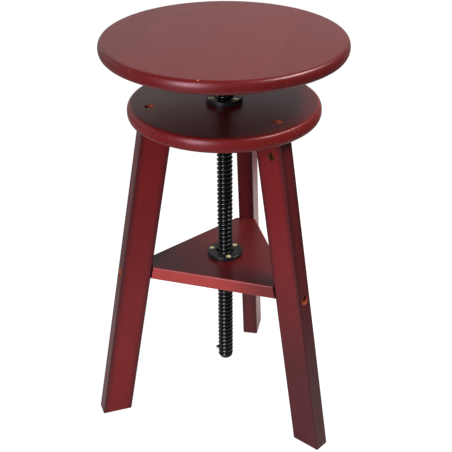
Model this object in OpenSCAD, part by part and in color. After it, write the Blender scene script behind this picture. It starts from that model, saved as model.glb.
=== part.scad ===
// Three-legged wooden stool whose round seat turns up and down on a coarse screw.
// Origin: on the screw's axis, at the floor. +Z is up, and the back leg stands towards +Y.

/* [Seat] */
// Diameter of the seat board
seat_d = 353; // [300:1:420]
// Thickness of the seat board
seat_t = 19.5; // [16:0.5:30]
// Radius of the seat's rounded rim
seat_edge_r = 7; // [2:0.5:7.5]
// Gap between the top disc and the seat at the height shown
seat_gap = 75.5; // [70:0.5:110]

/* [Top disc] */
// Diameter of the disc that joins the legs
disc_d = 281; // [270:1:330]
// Thickness of the disc
disc_t = 21.5; // [18:0.5:30]
// Radius of the disc's rounded rim
disc_edge_r = 7; // [2:0.5:8]
// Height of the disc's top face above the floor
disc_top_z = 520; // [480:1:600]

/* [Legs] */
// Width of a leg board, measured across the leg
leg_w = 46; // [40:1:55]
// Thickness of a leg board
leg_t = 25; // [22:0.5:32]
// Radius of a leg's long edges
leg_edge_r = 1.5; // [1:0.25:4]
// Lean of each leg away from upright
leg_splay = 10; // [7:0.25:11]
// Distance from the screw's axis to a leg's inner face at the floor
leg_foot_r = 164; // [160:1:180]

/* [Shelf] */
// Height of the shelf's top face above the floor
shelf_top_z = 264; // [230:1:300]
// Thickness of the shelf
shelf_t = 21; // [19:0.5:26]
// Distance from the screw's axis to each long side of the shelf
shelf_side_r = 73.5; // [70:0.5:78]
// Radius of the rounding along the long sides
shelf_edge_r = 2; // [0.5:0.25:4]

/* [Screw] */
// Outer diameter of the thread
rod_d = 24; // [22:0.5:25]
// Depth of the thread
thread_depth = 2; // [1.2:0.1:2.4]
// Rise of the thread in one turn
thread_pitch = 7.2; // [6:0.1:9]
// Length of the rod below the seat plate
rod_l = 522.5; // [500:0.5:540]
// Length of the cone at the rod's lower end
rod_tip_l = 4; // [2:0.5:8]
// Clearance between the thread and what it runs in
screw_clear = 0.4; // [0.35:0.05:0.6]

/* [Stop pin] */
// Diameter of the stop pin
stop_pin_d = 5; // [4:0.5:6]
// Distance of the stop pin from the rod's lower end
stop_pin_up = 18; // [14:0.5:30]
// Reach of the stop pin beyond the thread
stop_pin_out = 3.4; // [3.2:0.1:5]
// Direction in which the stop pin points
stop_pin_turn = 196; // [0:1:359]

/* [Flanges] */
// Diameter of the two black flanges
flange_d = 53.5; // [53:0.5:60]
// Thickness of the flanges
flange_t = 6.5; // [5:0.25:8]
// Diameter of the hubs that fill the bores of the disc and the shelf
hub_d = 35; // [34:0.5:36]
// Number of screws in each flange
flange_screws = 3; // [3:1:4]
// Radius of the circle of the flange screws
flange_screw_r = 21; // [20.5:0.25:22]
// Depth of the open mouth above the disc nut's thread
nut_mouth_depth = 3; // [1:0.5:5]
// Clearance round the thread in a flange's mouth
mouth_clear = 1.4; // [0.8:0.1:2]
// Turn of the disc nut's screws
disc_flange_turn = 94.5; // [0:0.5:119]
// Turn of the shelf flange's screws
shelf_flange_turn = 55; // [0:0.5:119]

/* [Guide ring] */
// Wall of the guide ring
ring_wall = 2.2; // [2:0.1:2.6]
// Height of the guide ring
ring_h = 10; // [6:0.5:11]
// Clearance round the turning ring
ring_clear = 0.3; // [0.3:0.05:0.5]
// Thickness of the clip below the guide ring
clip_t = 1.2; // [1:0.1:1.6]
// Width of the clip's band
clip_w = 2; // [1.5:0.1:2.5]
// Opening of the clip
clip_gap = 8; // [5:0.5:12]

/* [Wood screws] */
// Diameter of a flange screw's head
wood_head_d = 8; // [7:0.25:9]
// Diameter of a flange screw's shank
wood_shank_d = 3.8; // [3:0.1:4.5]
// Length of a flange screw
wood_screw_l = 20; // [16:0.5:22]
// Height of the head's dome
wood_dome_h = 0.8; // [0.4:0.1:1.2]
// Width of the cross recess
cross_w = 1; // [0.8:0.1:1.4]
// Depth of the cross recess
cross_depth = 1.4; // [0.8:0.1:2]

/* [Seat plate] */
// Diameter of the steel plate under the seat
plate_d = 100; // [90:1:120]
// Thickness of the plate
plate_t = 5; // [4:0.25:6]
// Diameter of the collar that holds the rod
collar_d = 34; // [31:0.5:38]
// Height of the collar below the plate
collar_h = 3; // [2:0.25:4]
// Number of screws in the plate
plate_screws = 4; // [3:1:6]
// Radius of the circle of the plate's screws
plate_screw_r = 38; // [34:0.5:42]
// Length of a plate screw
plate_screw_l = 18; // [14:0.5:19]

/* [Bolts] */
// Diameter of the bolts
bolt_d = 6; // [5:0.5:8]
// Diameter of a bolt's head
bolt_head_d = 11; // [10:0.5:12.5]
// Height of a bolt's head
bolt_head_h = 3.5; // [3:0.25:4.5]
// Width of the hexagon recess
hex_w = 4; // [3:0.5:5]
// Depth of the hexagon recess
hex_depth = 2; // [1.5:0.25:2.5]
// Diameter of the counterbores
counterbore_d = 14; // [13.5:0.25:16]
// Depth of the counterbores in the disc
disc_counterbore = 8; // [6:0.5:9]
// Depth of the counterbores in the legs, at their middle
leg_counterbore = 10; // [8:0.5:14]
// Diameter of the washers
washer_d = 13; // [12:0.25:13.2]
// Thickness of the washers
washer_t = 1.2; // [1:0.1:1.6]
// Clearance round a bolt
bolt_clear = 0.5; // [0.3:0.05:0.8]
// Distance of the disc's bolts from the legs' inner faces, outwards
disc_bolt_in = 32; // [26:0.5:34]

/* [Barrel nuts] */
// Diameter of the barrel nuts
barrel_d = 12; // [10:0.5:14]
// Length of the barrel nuts in the legs
leg_barrel_l = 20; // [18:0.5:21]
// Distance of the barrel nuts below the disc
barrel_drop = 26.5; // [24:0.5:40]
// Length of the barrel nuts in the shelf
shelf_barrel_l = 15; // [13:0.5:16]
// Distance of the shelf's barrel nuts from the legs
barrel_inset = 28; // [22:1:36]
// Width of a barrel nut's screwdriver slot
slot_w = 1.4; // [1:0.1:2]
// Depth of a barrel nut's screwdriver slot
slot_depth = 1.2; // [0.8:0.1:2]
// Length that a bolt reaches past its barrel nut's axis
bolt_past = 9; // [7:0.5:12]

/* [Wood pins] */
// Diameter of the pins between the disc and the legs
pin_d = 8; // [6:0.5:9]
// Length of the pins
pin_l = 30; // [24:1:36]
// Depth of the pins in the disc
pin_in_disc = 12; // [8:0.5:13]
// Distance between a pin and its leg's bolt
pin_pitch = 19; // [16:0.5:20]

/* [Hidden] */
// Clearance between pieces that are fixed together
fit_clear = 0.1;
// Overrun of every cut
over = 1;
// Sides of a round piece
round_fn = 96;
// Straight segments in one turn of the thread
thread_fn = 14;
// Azimuths of the back, left and right legs
LEG_AZ = [90, 210, 330];
// Shares of the pitch at which the thread's root and crest end
root_end_share = 0.28;
crest_start_share = 0.52;
crest_end_share = 0.76;

disc_low_z = disc_top_z - disc_t;
seat_low_z = disc_top_z + seat_gap;
plate_low_z = seat_low_z - plate_t;
rod_low_z = plate_low_z - rod_l;
shelf_low_z = shelf_top_z - shelf_t;
shelf_mid_z = shelf_top_z - shelf_t / 2;
// A leg's inner side face lies on the upright plane through the screw's axis
leg_shift = leg_t / 2;
leg_depth = leg_w / cos(leg_splay);
leg_reach = disc_low_z / cos(leg_splay);
root_r = rod_d / 2 - thread_depth;
mouth_r = rod_d / 2 + mouth_clear;
ring_in_r = rod_d / 2 + screw_clear;
ring_out_r = ring_in_r + ring_wall;
pocket_r = ring_out_r + ring_clear;
shelf_hub_l = shelf_t;
ring_top_z = shelf_top_z - (shelf_hub_l - ring_h - clip_t) / 2;
ring_low_z = ring_top_z - ring_h;
clip_top_z = ring_low_z - ring_clear;
wood_head_h = (wood_head_d - wood_shank_d) / 2;
wood_point_l = wood_shank_d;
bolt_hole_d = bolt_d + bolt_clear;
barrel_z = disc_low_z - barrel_drop;
disc_bolt_r = leg_inner_r(disc_low_z) + disc_bolt_in;
disc_bolt_head_z = disc_top_z - disc_counterbore + washer_t;
shelf_turn = asin(leg_shift / leg_inner_r(shelf_mid_z));
shelf_tip_r = shelf_side_r / cos(180 / len(LEG_AZ));
barrel_r = leg_inner_r(shelf_mid_z) - barrel_inset;
leg_seat_r = leg_inner_r(shelf_mid_z) + leg_depth - leg_counterbore;

function leg_inner_r(z) = leg_foot_r - z * tan(leg_splay);

// Puts its children on each leg's own axes: x away from the screw, y along the leg's thickness
module at_legs() {
    for (azimuth = LEG_AZ)
        rotate([0, 0, azimuth]) translate([0, -leg_shift, 0]) children();
}

// Puts its children at count places round the screw's axis
module around(count, radius, turn) {
    for (i = [0 : count - 1])
        rotate([0, 0, turn + i * 360 / count]) translate([radius, 0, 0]) children();
}

// Flat round board with a rounded rim, standing on z = 0
module round_board(diameter, thickness, edge_r) {
    rotate_extrude($fn = round_fn)
        union() {
            square([diameter / 2 - edge_r, thickness]);
            translate([0, edge_r]) square([diameter / 2, thickness - 2 * edge_r]);
            translate([diameter / 2 - edge_r, edge_r]) circle(r = edge_r, $fn = round_fn);
            translate([diameter / 2 - edge_r, thickness - edge_r])
                circle(r = edge_r, $fn = round_fn);
        }
}

// Rectangle from x = 0, centred on y, with rounded corners
module board_section(width, thickness, edge_r) {
    translate([edge_r, -thickness / 2]) square([width - 2 * edge_r, thickness]);
    translate([0, edge_r - thickness / 2]) square([width, thickness - 2 * edge_r]);
    for (x = [edge_r, width - edge_r], y = [edge_r - thickness / 2, thickness / 2 - edge_r])
        translate([x, y]) circle(r = edge_r, $fn = round_fn);
}

// Screw thread as one closed surface that follows the helix, a turn longer at each end.
// grow makes it wider for the cut in a nut, whose flats then clear the thread all round.
module helix_solid(low_z, high_z, grow) {
    widen = grow > 0 ? grow / cos(180 / thread_fn) + rod_d / 2 * (1 / cos(180 / thread_fn) - 1) : 0;
    low_r = root_r + widen;
    top_r = rod_d / 2 + widen;
    first = floor(low_z / thread_pitch) - 1;
    turns = ceil(high_z / thread_pitch) + 1 - first;
    steps = turns * thread_fn;
    profile = [[low_r, 0], [low_r, root_end_share * thread_pitch - 2 * grow],
        [top_r, crest_start_share * thread_pitch - 2 * grow],
        [top_r, crest_end_share * thread_pitch]];
    rows = len(profile);
    points = [for (i = [0 : steps], p = profile)
            [p[0] * cos(i * 360 / thread_fn), p[0] * sin(i * 360 / thread_fn),
                (first + i / thread_fn) * thread_pitch + p[1]]];
    low_c = len(points);
    high_c = low_c + 1;
    caps = [[0, 0, (first + 0.5) * thread_pitch], [0, 0, (first + turns + 0.5) * thread_pitch]];
    function id(i, j) = i * rows + j;
    sides = [for (i = [0 : steps - 1], j = [0 : rows - 2], half = [0, 1])
            half == 0 ? [id(i, j), id(i + 1, j + 1), id(i + 1, j)]
                : [id(i, j), id(i, j + 1), id(i + 1, j + 1)]];
    wraps = [for (i = [0 : steps - thread_fn - 1], half = [0, 1])
            half == 0 ? [id(i, rows - 1), id(i + 1 + thread_fn, 0), id(i + 1, rows - 1)]
                : [id(i, rows - 1), id(i + thread_fn, 0), id(i + 1 + thread_fn, 0)]];
    low_ramp = [for (i = [0 : thread_fn - 1]) [low_c, id(i, 0), id(i + 1, 0)]];
    low_wall = [for (j = [0 : rows - 1])
            [low_c, j == rows - 1 ? id(thread_fn, 0) : id(0, j + 1), id(0, j)]];
    last = steps - thread_fn;
    high_ramp = [for (i = [last : steps - 1])
            [high_c, id(i + 1, rows - 1), id(i, rows - 1)]];
    high_wall = [for (j = [0 : rows - 1])
            [high_c, j == 0 ? id(last, rows - 1) : id(steps, j - 1), id(steps, j)]];
    polyhedron(points = concat(points, caps),
        faces = concat(sides, wraps, low_ramp, low_wall, high_ramp, high_wall), convexity = 10);
}

// Countersunk wood screw with a domed cross-recessed head, its head's rim at z = 0
module wood_screw(length) {
    dome_r = (pow(wood_head_d / 2, 2) + pow(wood_dome_h, 2)) / (2 * wood_dome_h);
    difference() {
        union() {
            intersection() {
                translate([0, 0, wood_dome_h - dome_r]) sphere(r = dome_r, $fn = round_fn);
                cylinder(d = wood_head_d, h = wood_dome_h, $fn = round_fn);
            }
            translate([0, 0, -wood_head_h])
                cylinder(d1 = wood_shank_d, d2 = wood_head_d, h = wood_head_h, $fn = round_fn);
            translate([0, 0, wood_point_l - length])
                cylinder(d = wood_shank_d, h = length - wood_point_l - wood_head_h,
                    $fn = round_fn);
            translate([0, 0, -length])
                cylinder(d1 = 0, d2 = wood_shank_d, h = wood_point_l, $fn = round_fn);
        }
        for (turn = [0, 90])
            rotate([0, 0, turn]) translate([-wood_shank_d / 2, -cross_w / 2, wood_dome_h - cross_depth])
                cube([wood_shank_d, cross_w, cross_depth + over]);
    }
}

// Hole for a wood screw, with its countersink's rim at z = 0
module wood_screw_hole(length) {
    translate([0, 0, -length - fit_clear])
        cylinder(d = wood_shank_d + 2 * fit_clear, h = length + fit_clear + over, $fn = round_fn);
    translate([0, 0, -wood_head_h])
        cylinder(d1 = wood_shank_d + 2 * fit_clear, d2 = wood_head_d + 2 * fit_clear,
            h = wood_head_h, $fn = round_fn);
    cylinder(d = wood_head_d + 2 * fit_clear, h = over, $fn = round_fn);
}

// Socket-head bolt that points down, its head's seat at z = 0
module bolt(length) {
    difference() {
        union() {
            cylinder(d = bolt_head_d, h = bolt_head_h, $fn = round_fn);
            translate([0, 0, -length]) cylinder(d = bolt_d, h = length, $fn = round_fn);
        }
        translate([0, 0, bolt_head_h - hex_depth])
            cylinder(d = hex_w / cos(30), h = hex_depth + over, $fn = 6);
    }
}

// Washer, its lower face at z = 0
module washer() {
    difference() {
        cylinder(d = washer_d, h = washer_t, $fn = round_fn);
        translate([0, 0, -over]) cylinder(d = bolt_hole_d, h = washer_t + 2 * over, $fn = round_fn);
    }
}

// Barrel nut along +Z from z = 0, with its slotted face at z = 0 and its thread along x
module barrel_nut(length, thread_up) {
    difference() {
        cylinder(d = barrel_d, h = length, $fn = round_fn);
        translate([-barrel_d, 0, thread_up]) rotate([0, 90, 0])
            cylinder(d = bolt_d + 2 * fit_clear, h = 2 * barrel_d, $fn = round_fn);
        translate([-barrel_d, -slot_w / 2, -over]) cube([2 * barrel_d, slot_w, slot_depth + over]);
    }
}

// Block that fills everything outside the legs' inner faces, on a leg's own axes
module beyond_leg_face() {
    translate([leg_foot_r, -disc_d, 0]) rotate([0, -leg_splay, 0])
        translate([0, 0, -leg_w]) cube([disc_d, 2 * disc_d, leg_reach]);
}

// One leg on its own axes, before it is turned to its place
module leg() {
    difference() {
        intersection() {
            translate([leg_foot_r, 0, 0]) rotate([0, -leg_splay, 0])
                translate([0, 0, -leg_w])
                    linear_extrude(height = leg_reach + 2 * leg_w)
                        board_section(leg_w, leg_t, leg_edge_r);
            translate([0, -leg_t, 0]) cube([leg_foot_r + 2 * leg_w, 2 * leg_t, disc_low_z]);
        }
        translate([disc_bolt_r, 0, barrel_z - bolt_past - bolt_clear])
            cylinder(d = bolt_hole_d, h = disc_low_z, $fn = round_fn);
        translate([disc_bolt_r - pin_pitch, 0, disc_low_z - pin_l + pin_in_disc - fit_clear])
            cylinder(d = pin_d + 2 * fit_clear, h = pin_l, $fn = round_fn);
        translate([disc_bolt_r, -leg_t, barrel_z]) rotate([-90, 0, 0])
            cylinder(d = barrel_d + 2 * fit_clear, h = leg_t / 2 + leg_barrel_l + fit_clear,
                $fn = round_fn);
        translate([0, 0, shelf_mid_z]) rotate([0, 90, 0])
            cylinder(d = bolt_hole_d, h = leg_seat_r + over, $fn = round_fn);
        translate([leg_seat_r, 0, shelf_mid_z]) rotate([0, 90, 0])
            cylinder(d = counterbore_d, h = leg_depth, $fn = round_fn);
    }
}

// Leg number i, counted from the back leg
module leg_at(i) {
    color("firebrick") rotate([0, 0, LEG_AZ[i]]) translate([0, -leg_shift, 0]) leg();
}

module leg_back() {
    leg_at(0);
}

module leg_left() {
    leg_at(1);
}

module leg_right() {
    leg_at(2);
}

module seat() {
    color("brown") difference() {
        translate([0, 0, seat_low_z]) round_board(seat_d, seat_t, seat_edge_r);
        around(plate_screws, plate_screw_r, 360 / plate_screws / 2)
            translate([0, 0, seat_low_z - plate_t]) mirror([0, 0, 1])
                wood_screw_hole(plate_screw_l);
    }
}

module seat_plate() {
    color("dimgray") difference() {
        union() {
            translate([0, 0, plate_low_z]) cylinder(d = plate_d, h = plate_t, $fn = round_fn);
            translate([0, 0, plate_low_z - collar_h])
                cylinder(d = collar_d, h = collar_h + over, $fn = round_fn);
        }
        translate([0, 0, plate_low_z - collar_h - over])
            cylinder(d = rod_d + 2 * fit_clear, h = collar_h + over, $fn = round_fn);
        around(plate_screws, plate_screw_r, 360 / plate_screws / 2)
            translate([0, 0, plate_low_z]) mirror([0, 0, 1]) wood_screw_hole(plate_screw_l);
    }
}

module seat_plate_screws() {
    color("silver") around(plate_screws, plate_screw_r, 360 / plate_screws / 2)
        translate([0, 0, plate_low_z]) mirror([0, 0, 1]) wood_screw(plate_screw_l);
}

module threaded_rod() {
    color("black") difference() {
        intersection() {
            helix_solid(rod_low_z, plate_low_z, 0);
            union() {
                translate([0, 0, rod_low_z])
                    cylinder(r1 = root_r - thread_depth / 2, r2 = rod_d / 2 + over, h = rod_tip_l,
                        $fn = round_fn);
                translate([0, 0, rod_low_z + rod_tip_l])
                    cylinder(r = rod_d / 2 + over, h = rod_l - rod_tip_l, $fn = round_fn);
            }
        }
        rotate([0, 0, stop_pin_turn]) translate([0, 0, rod_low_z + stop_pin_up])
            rotate([0, 90, 0])
                cylinder(d = stop_pin_d + 2 * fit_clear, h = rod_d, $fn = round_fn);
    }
}

module stop_pin() {
    color("black") rotate([0, 0, stop_pin_turn])
        translate([fit_clear, 0, rod_low_z + stop_pin_up]) rotate([0, 90, 0]) {
            cylinder(d = stop_pin_d, h = rod_d / 2 + stop_pin_out - stop_pin_d / 4, $fn = round_fn);
            translate([0, 0, rod_d / 2 + stop_pin_out - stop_pin_d / 4])
                cylinder(d1 = stop_pin_d, d2 = stop_pin_d / 2, h = stop_pin_d / 4, $fn = round_fn);
        }
}

module top_disc() {
    color("maroon") difference() {
        translate([0, 0, disc_low_z]) round_board(disc_d, disc_t, disc_edge_r);
        translate([0, 0, disc_low_z - over])
            cylinder(d = hub_d + 2 * fit_clear, h = disc_t + 2 * over, $fn = round_fn);
        around(flange_screws, flange_screw_r, disc_flange_turn)
            translate([0, 0, disc_top_z + flange_t]) wood_screw_hole(wood_screw_l);
        at_legs() {
            translate([disc_bolt_r, 0, disc_low_z - over])
                cylinder(d = bolt_hole_d, h = disc_t + 2 * over, $fn = round_fn);
            translate([disc_bolt_r, 0, disc_top_z - disc_counterbore])
                cylinder(d = counterbore_d, h = disc_counterbore + over, $fn = round_fn);
            translate([disc_bolt_r - pin_pitch, 0, disc_low_z - over])
                cylinder(d = pin_d + 2 * fit_clear, h = over + pin_in_disc + fit_clear,
                    $fn = round_fn);
        }
    }
}

module disc_flange_nut() {
    color("black") difference() {
        union() {
            translate([0, 0, disc_top_z]) cylinder(d = flange_d, h = flange_t, $fn = round_fn);
            translate([0, 0, disc_low_z]) cylinder(d = hub_d, h = disc_t + over, $fn = round_fn);
        }
        intersection() {
            helix_solid(disc_low_z, disc_top_z + flange_t, screw_clear);
            translate([0, 0, disc_low_z - over])
                cylinder(r = hub_d / 2, h = disc_t + flange_t + 2 * over, $fn = round_fn);
        }
        translate([0, 0, disc_top_z + flange_t - nut_mouth_depth])
            cylinder(r = mouth_r, h = nut_mouth_depth + over, $fn = round_fn);
        around(flange_screws, flange_screw_r, disc_flange_turn)
            translate([0, 0, disc_top_z + flange_t]) wood_screw_hole(wood_screw_l);
    }
}

module disc_flange_screws() {
    color("gold") around(flange_screws, flange_screw_r, disc_flange_turn)
        translate([0, 0, disc_top_z + flange_t]) wood_screw(wood_screw_l);
}

module leg_bolts() {
    color("dimgray") at_legs()
        translate([disc_bolt_r, 0, disc_bolt_head_z])
            bolt(disc_bolt_head_z - barrel_z + bolt_past);
}

module leg_bolt_washers() {
    color("silver") at_legs()
        translate([disc_bolt_r, 0, disc_bolt_head_z - washer_t]) washer();
}

module leg_barrel_nuts() {
    color("darkgoldenrod") at_legs()
        translate([disc_bolt_r, -leg_t / 2, barrel_z]) rotate([-90, 0, 0]) rotate([0, 0, 90])
            barrel_nut(leg_barrel_l, leg_t / 2);
}

module leg_pins() {
    color("tan") at_legs()
        translate([disc_bolt_r - pin_pitch, 0, disc_low_z + pin_in_disc - pin_l])
            cylinder(d = pin_d, h = pin_l, $fn = round_fn);
}

// Cutter that rounds a long edge of the shelf: x out of the side, z up, with the edge at 0
module edge_round_cutter(length) {
    translate([-shelf_edge_r, length / 2, -shelf_edge_r]) rotate([90, 0, 0])
        linear_extrude(height = length)
            difference() {
                square([shelf_edge_r + over, shelf_edge_r + over]);
                circle(r = shelf_edge_r, $fn = round_fn);
            }
}

module shelf() {
    color("firebrick") difference() {
        translate([0, 0, shelf_low_z])
            rotate([0, 0, LEG_AZ[0] - shelf_turn])
                linear_extrude(height = shelf_t)
                    polygon([for (i = [0 : len(LEG_AZ) - 1])
                            [shelf_tip_r * cos(i * 360 / len(LEG_AZ)),
                                shelf_tip_r * sin(i * 360 / len(LEG_AZ))]]);
        at_legs() beyond_leg_face();
        rotate([0, 0, LEG_AZ[0] - shelf_turn])
            around(len(LEG_AZ), shelf_side_r, 180 / len(LEG_AZ)) {
                translate([0, 0, shelf_top_z]) edge_round_cutter(4 * shelf_side_r);
                translate([0, 0, shelf_low_z]) mirror([0, 0, 1])
                    edge_round_cutter(4 * shelf_side_r);
            }
        translate([0, 0, shelf_low_z - over])
            cylinder(d = hub_d + 2 * fit_clear, h = shelf_t + 2 * over, $fn = round_fn);
        around(flange_screws, flange_screw_r, shelf_flange_turn)
            translate([0, 0, shelf_top_z + flange_t]) wood_screw_hole(wood_screw_l);
        at_legs() {
            translate([barrel_r - bolt_past - bolt_clear, 0, shelf_mid_z]) rotate([0, 90, 0])
                cylinder(d = bolt_hole_d, h = leg_foot_r, $fn = round_fn);
            translate([barrel_r, 0, shelf_low_z - over])
                cylinder(d = barrel_d + 2 * fit_clear, h = over + shelf_barrel_l + fit_clear,
                    $fn = round_fn);
        }
    }
}

module shelf_flange() {
    color("black") difference() {
        union() {
            translate([0, 0, shelf_top_z]) cylinder(d = flange_d, h = flange_t, $fn = round_fn);
            translate([0, 0, shelf_low_z])
                cylinder(d = hub_d, h = shelf_hub_l + over, $fn = round_fn);
        }
        translate([0, 0, shelf_low_z - over])
            cylinder(r = mouth_r, h = shelf_hub_l + flange_t + 2 * over, $fn = round_fn);
        translate([0, 0, shelf_low_z - over])
            cylinder(r = pocket_r, h = ring_top_z + ring_clear - shelf_low_z + over,
                $fn = round_fn);
        translate([0, 0, clip_top_z - clip_t - fit_clear])
            cylinder(r = pocket_r + clip_w / 2 + fit_clear, h = clip_t + 2 * fit_clear,
                $fn = round_fn);
        around(flange_screws, flange_screw_r, shelf_flange_turn)
            translate([0, 0, shelf_top_z + flange_t]) wood_screw_hole(wood_screw_l);
    }
}

module shelf_flange_screws() {
    color("gold") around(flange_screws, flange_screw_r, shelf_flange_turn)
        translate([0, 0, shelf_top_z + flange_t]) wood_screw(wood_screw_l);
}

module guide_ring() {
    color("whitesmoke") difference() {
        translate([0, 0, ring_low_z]) cylinder(r = ring_out_r, h = ring_h, $fn = round_fn);
        translate([0, 0, ring_low_z - over])
            cylinder(r = ring_in_r, h = ring_h + 2 * over, $fn = round_fn);
    }
}

module guide_ring_clip() {
    color("silver") difference() {
        translate([0, 0, clip_top_z - clip_t])
            cylinder(r = pocket_r + clip_w / 2, h = clip_t, $fn = round_fn);
        translate([0, 0, clip_top_z - clip_t - over])
            cylinder(r = pocket_r - clip_w / 2, h = clip_t + 2 * over, $fn = round_fn);
        translate([0, -clip_gap / 2, clip_top_z - clip_t - over])
            cube([hub_d, clip_gap, clip_t + 2 * over]);
    }
}

module shelf_bolts() {
    color("dimgray") at_legs()
        translate([leg_seat_r + washer_t, 0, shelf_mid_z]) rotate([0, 90, 0])
            bolt(leg_seat_r + washer_t - barrel_r + bolt_past);
}

module shelf_bolt_washers() {
    color("silver") at_legs()
        translate([leg_seat_r, 0, shelf_mid_z]) rotate([0, 90, 0]) washer();
}

module shelf_barrel_nuts() {
    color("darkgoldenrod") at_legs()
        translate([barrel_r, 0, shelf_low_z]) barrel_nut(shelf_barrel_l, shelf_t / 2);
}

seat();
seat_plate();
seat_plate_screws();
threaded_rod();
stop_pin();
top_disc();
disc_flange_nut();
disc_flange_screws();
leg_back();
leg_left();
leg_right();
leg_bolts();
leg_bolt_washers();
leg_barrel_nuts();
leg_pins();
shelf();
shelf_flange();
shelf_flange_screws();
guide_ring();
guide_ring_clip();
shelf_bolts();
shelf_bolt_washers();
shelf_barrel_nuts();
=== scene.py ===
"""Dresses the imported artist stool: stained wood, a black screw, brass fittings and a pale studio.

Every length is in metres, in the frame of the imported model: the origin is on the screw's axis
at the floor, +Z is up and the back leg stands towards +Y.
"""

import logging
import math
from collections.abc import Callable, Iterable, Sequence
from dataclasses import dataclass, field, replace
from enum import Enum

import bpy
import numpy as np
from mathutils import Matrix, Vector


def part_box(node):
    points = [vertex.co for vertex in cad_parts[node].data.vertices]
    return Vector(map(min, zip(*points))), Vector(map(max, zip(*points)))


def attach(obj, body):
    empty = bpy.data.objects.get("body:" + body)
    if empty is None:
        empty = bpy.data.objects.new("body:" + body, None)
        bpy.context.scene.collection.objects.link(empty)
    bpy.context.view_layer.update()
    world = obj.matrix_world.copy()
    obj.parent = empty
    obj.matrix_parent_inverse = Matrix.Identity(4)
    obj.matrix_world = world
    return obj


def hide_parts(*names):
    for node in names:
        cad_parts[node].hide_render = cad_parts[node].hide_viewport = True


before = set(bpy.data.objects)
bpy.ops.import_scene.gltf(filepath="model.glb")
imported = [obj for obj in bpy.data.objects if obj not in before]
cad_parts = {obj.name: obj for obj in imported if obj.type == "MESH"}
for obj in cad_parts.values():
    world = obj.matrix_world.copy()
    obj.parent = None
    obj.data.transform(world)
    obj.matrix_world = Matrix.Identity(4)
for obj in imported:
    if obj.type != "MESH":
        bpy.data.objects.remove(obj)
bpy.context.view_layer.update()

LOG = logging.getLogger("stool")

MM = 0.001
OVERRUN = 2 * MM
SNUG = 0.1 * MM
# A vector below the first length has no direction, and points within the second are one
SHORTEST = 1e-12
SAME_PLACE = 1e-9
LEG_AZIMUTHS = {"back": 90.0, "left": 210.0, "right": 330.0}

# Points in a ring of a turned solid, from the smallest to the widest
PIN_SIDES = 48
SCREW_SIDES = 64
BORE_SIDES = 96
FLANGE_SIDES = 128
BOARD_SIDES = 256

Pair = tuple[float, float]
Colour = tuple[float, float, float]
Corners = Sequence[Sequence[float]]
Places = Callable[[np.ndarray], np.ndarray]
Shape = dict[str, object]
Sockets = dict[str, object]
Spots = Sequence[tuple[np.ndarray, ...]]


class Body(Enum):
    """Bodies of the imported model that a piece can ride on."""

    FRAME = "frame"
    GUIDE = "guide"
    SEAT = "seat"


class Slot(Enum):
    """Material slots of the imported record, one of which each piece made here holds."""

    SEAT = "seat_stain"
    DISC = "disc_stain"
    LEG = "leg_stain"
    SHELF = "shelf_stain"
    SCREW = "black_screw"
    FLANGE = "black_flange"
    PLATE = "plate_black"
    BRASS = "brass_screw"
    AGED_BRASS = "aged_brass"
    ZINC = "zinc_steel"
    NYLON = "nylon"


class BoardKind(Enum):
    """Outlines of the wooden boards, seen from above the board's broad face."""

    PLANK = "plank"
    ROUND = "round"
    TRIANGLE = "triangle"


@dataclass(frozen=True)
class Noise:
    """Smooth noise: its cells to a metre on each axis, its finer layers and how it distorts."""

    cells: Colour
    layers: float
    rough: float
    warp: float = 0.0


class Value:
    """A number at every point of a surface, whose operators add Math nodes to its shader."""

    def __init__(self, shader: "Shader", socket: bpy.types.NodeSocket | None) -> None:
        """Wraps an output socket of the shader, or None for a node that has none."""
        self.shader = shader
        self.socket = socket

    def __add__(self, other: "Value | float") -> "Value":
        """This value plus another."""
        return self.shader.math("ADD", self, other)

    __radd__ = __add__

    def __mul__(self, other: "Value | float") -> "Value":
        """This value times another."""
        return self.shader.math("MULTIPLY", self, other)

    __rmul__ = __mul__

    def __sub__(self, other: "Value | float") -> "Value":
        """This value less another."""
        return self.shader.math("SUBTRACT", self, other)

    def __rsub__(self, other: float) -> "Value":
        """A number less this value."""
        return self.shader.math("SUBTRACT", other, self)

    def __truediv__(self, other: "Value | float") -> "Value":
        """This value divided by another."""
        return self.shader.math("DIVIDE", self, other)

    def __abs__(self) -> "Value":
        """This value without its sign."""
        return self.shader.math("ABSOLUTE", self)

    def floor(self) -> "Value":
        """The whole number at or below this value."""
        return self.shader.math("FLOOR", self)

    def most(self, other: "Value | float") -> "Value":
        """The larger of this value and another."""
        return self.shader.math("MAXIMUM", self, other)

    def length(self, other: "Value") -> "Value":
        """Length of the vector whose two parts are this value and another."""
        return self.shader.math("SQRT", self * self + other * other)

    def spread(self, width: float) -> "Value":
        """Noise between 0 and 1 as a change about zero, of that width from least to most."""
        return (self - 0.5) * width

    def fade(self, start: float, end: float) -> "Value":
        """Rises smoothly from 0 at start to 1 at end, which may be below start."""
        inputs = {"Value": self, "From Min": start, "From Max": end}
        return self.shader.add("ShaderNodeMapRange", {"interpolation_type": "SMOOTHSTEP"}, inputs)


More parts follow.
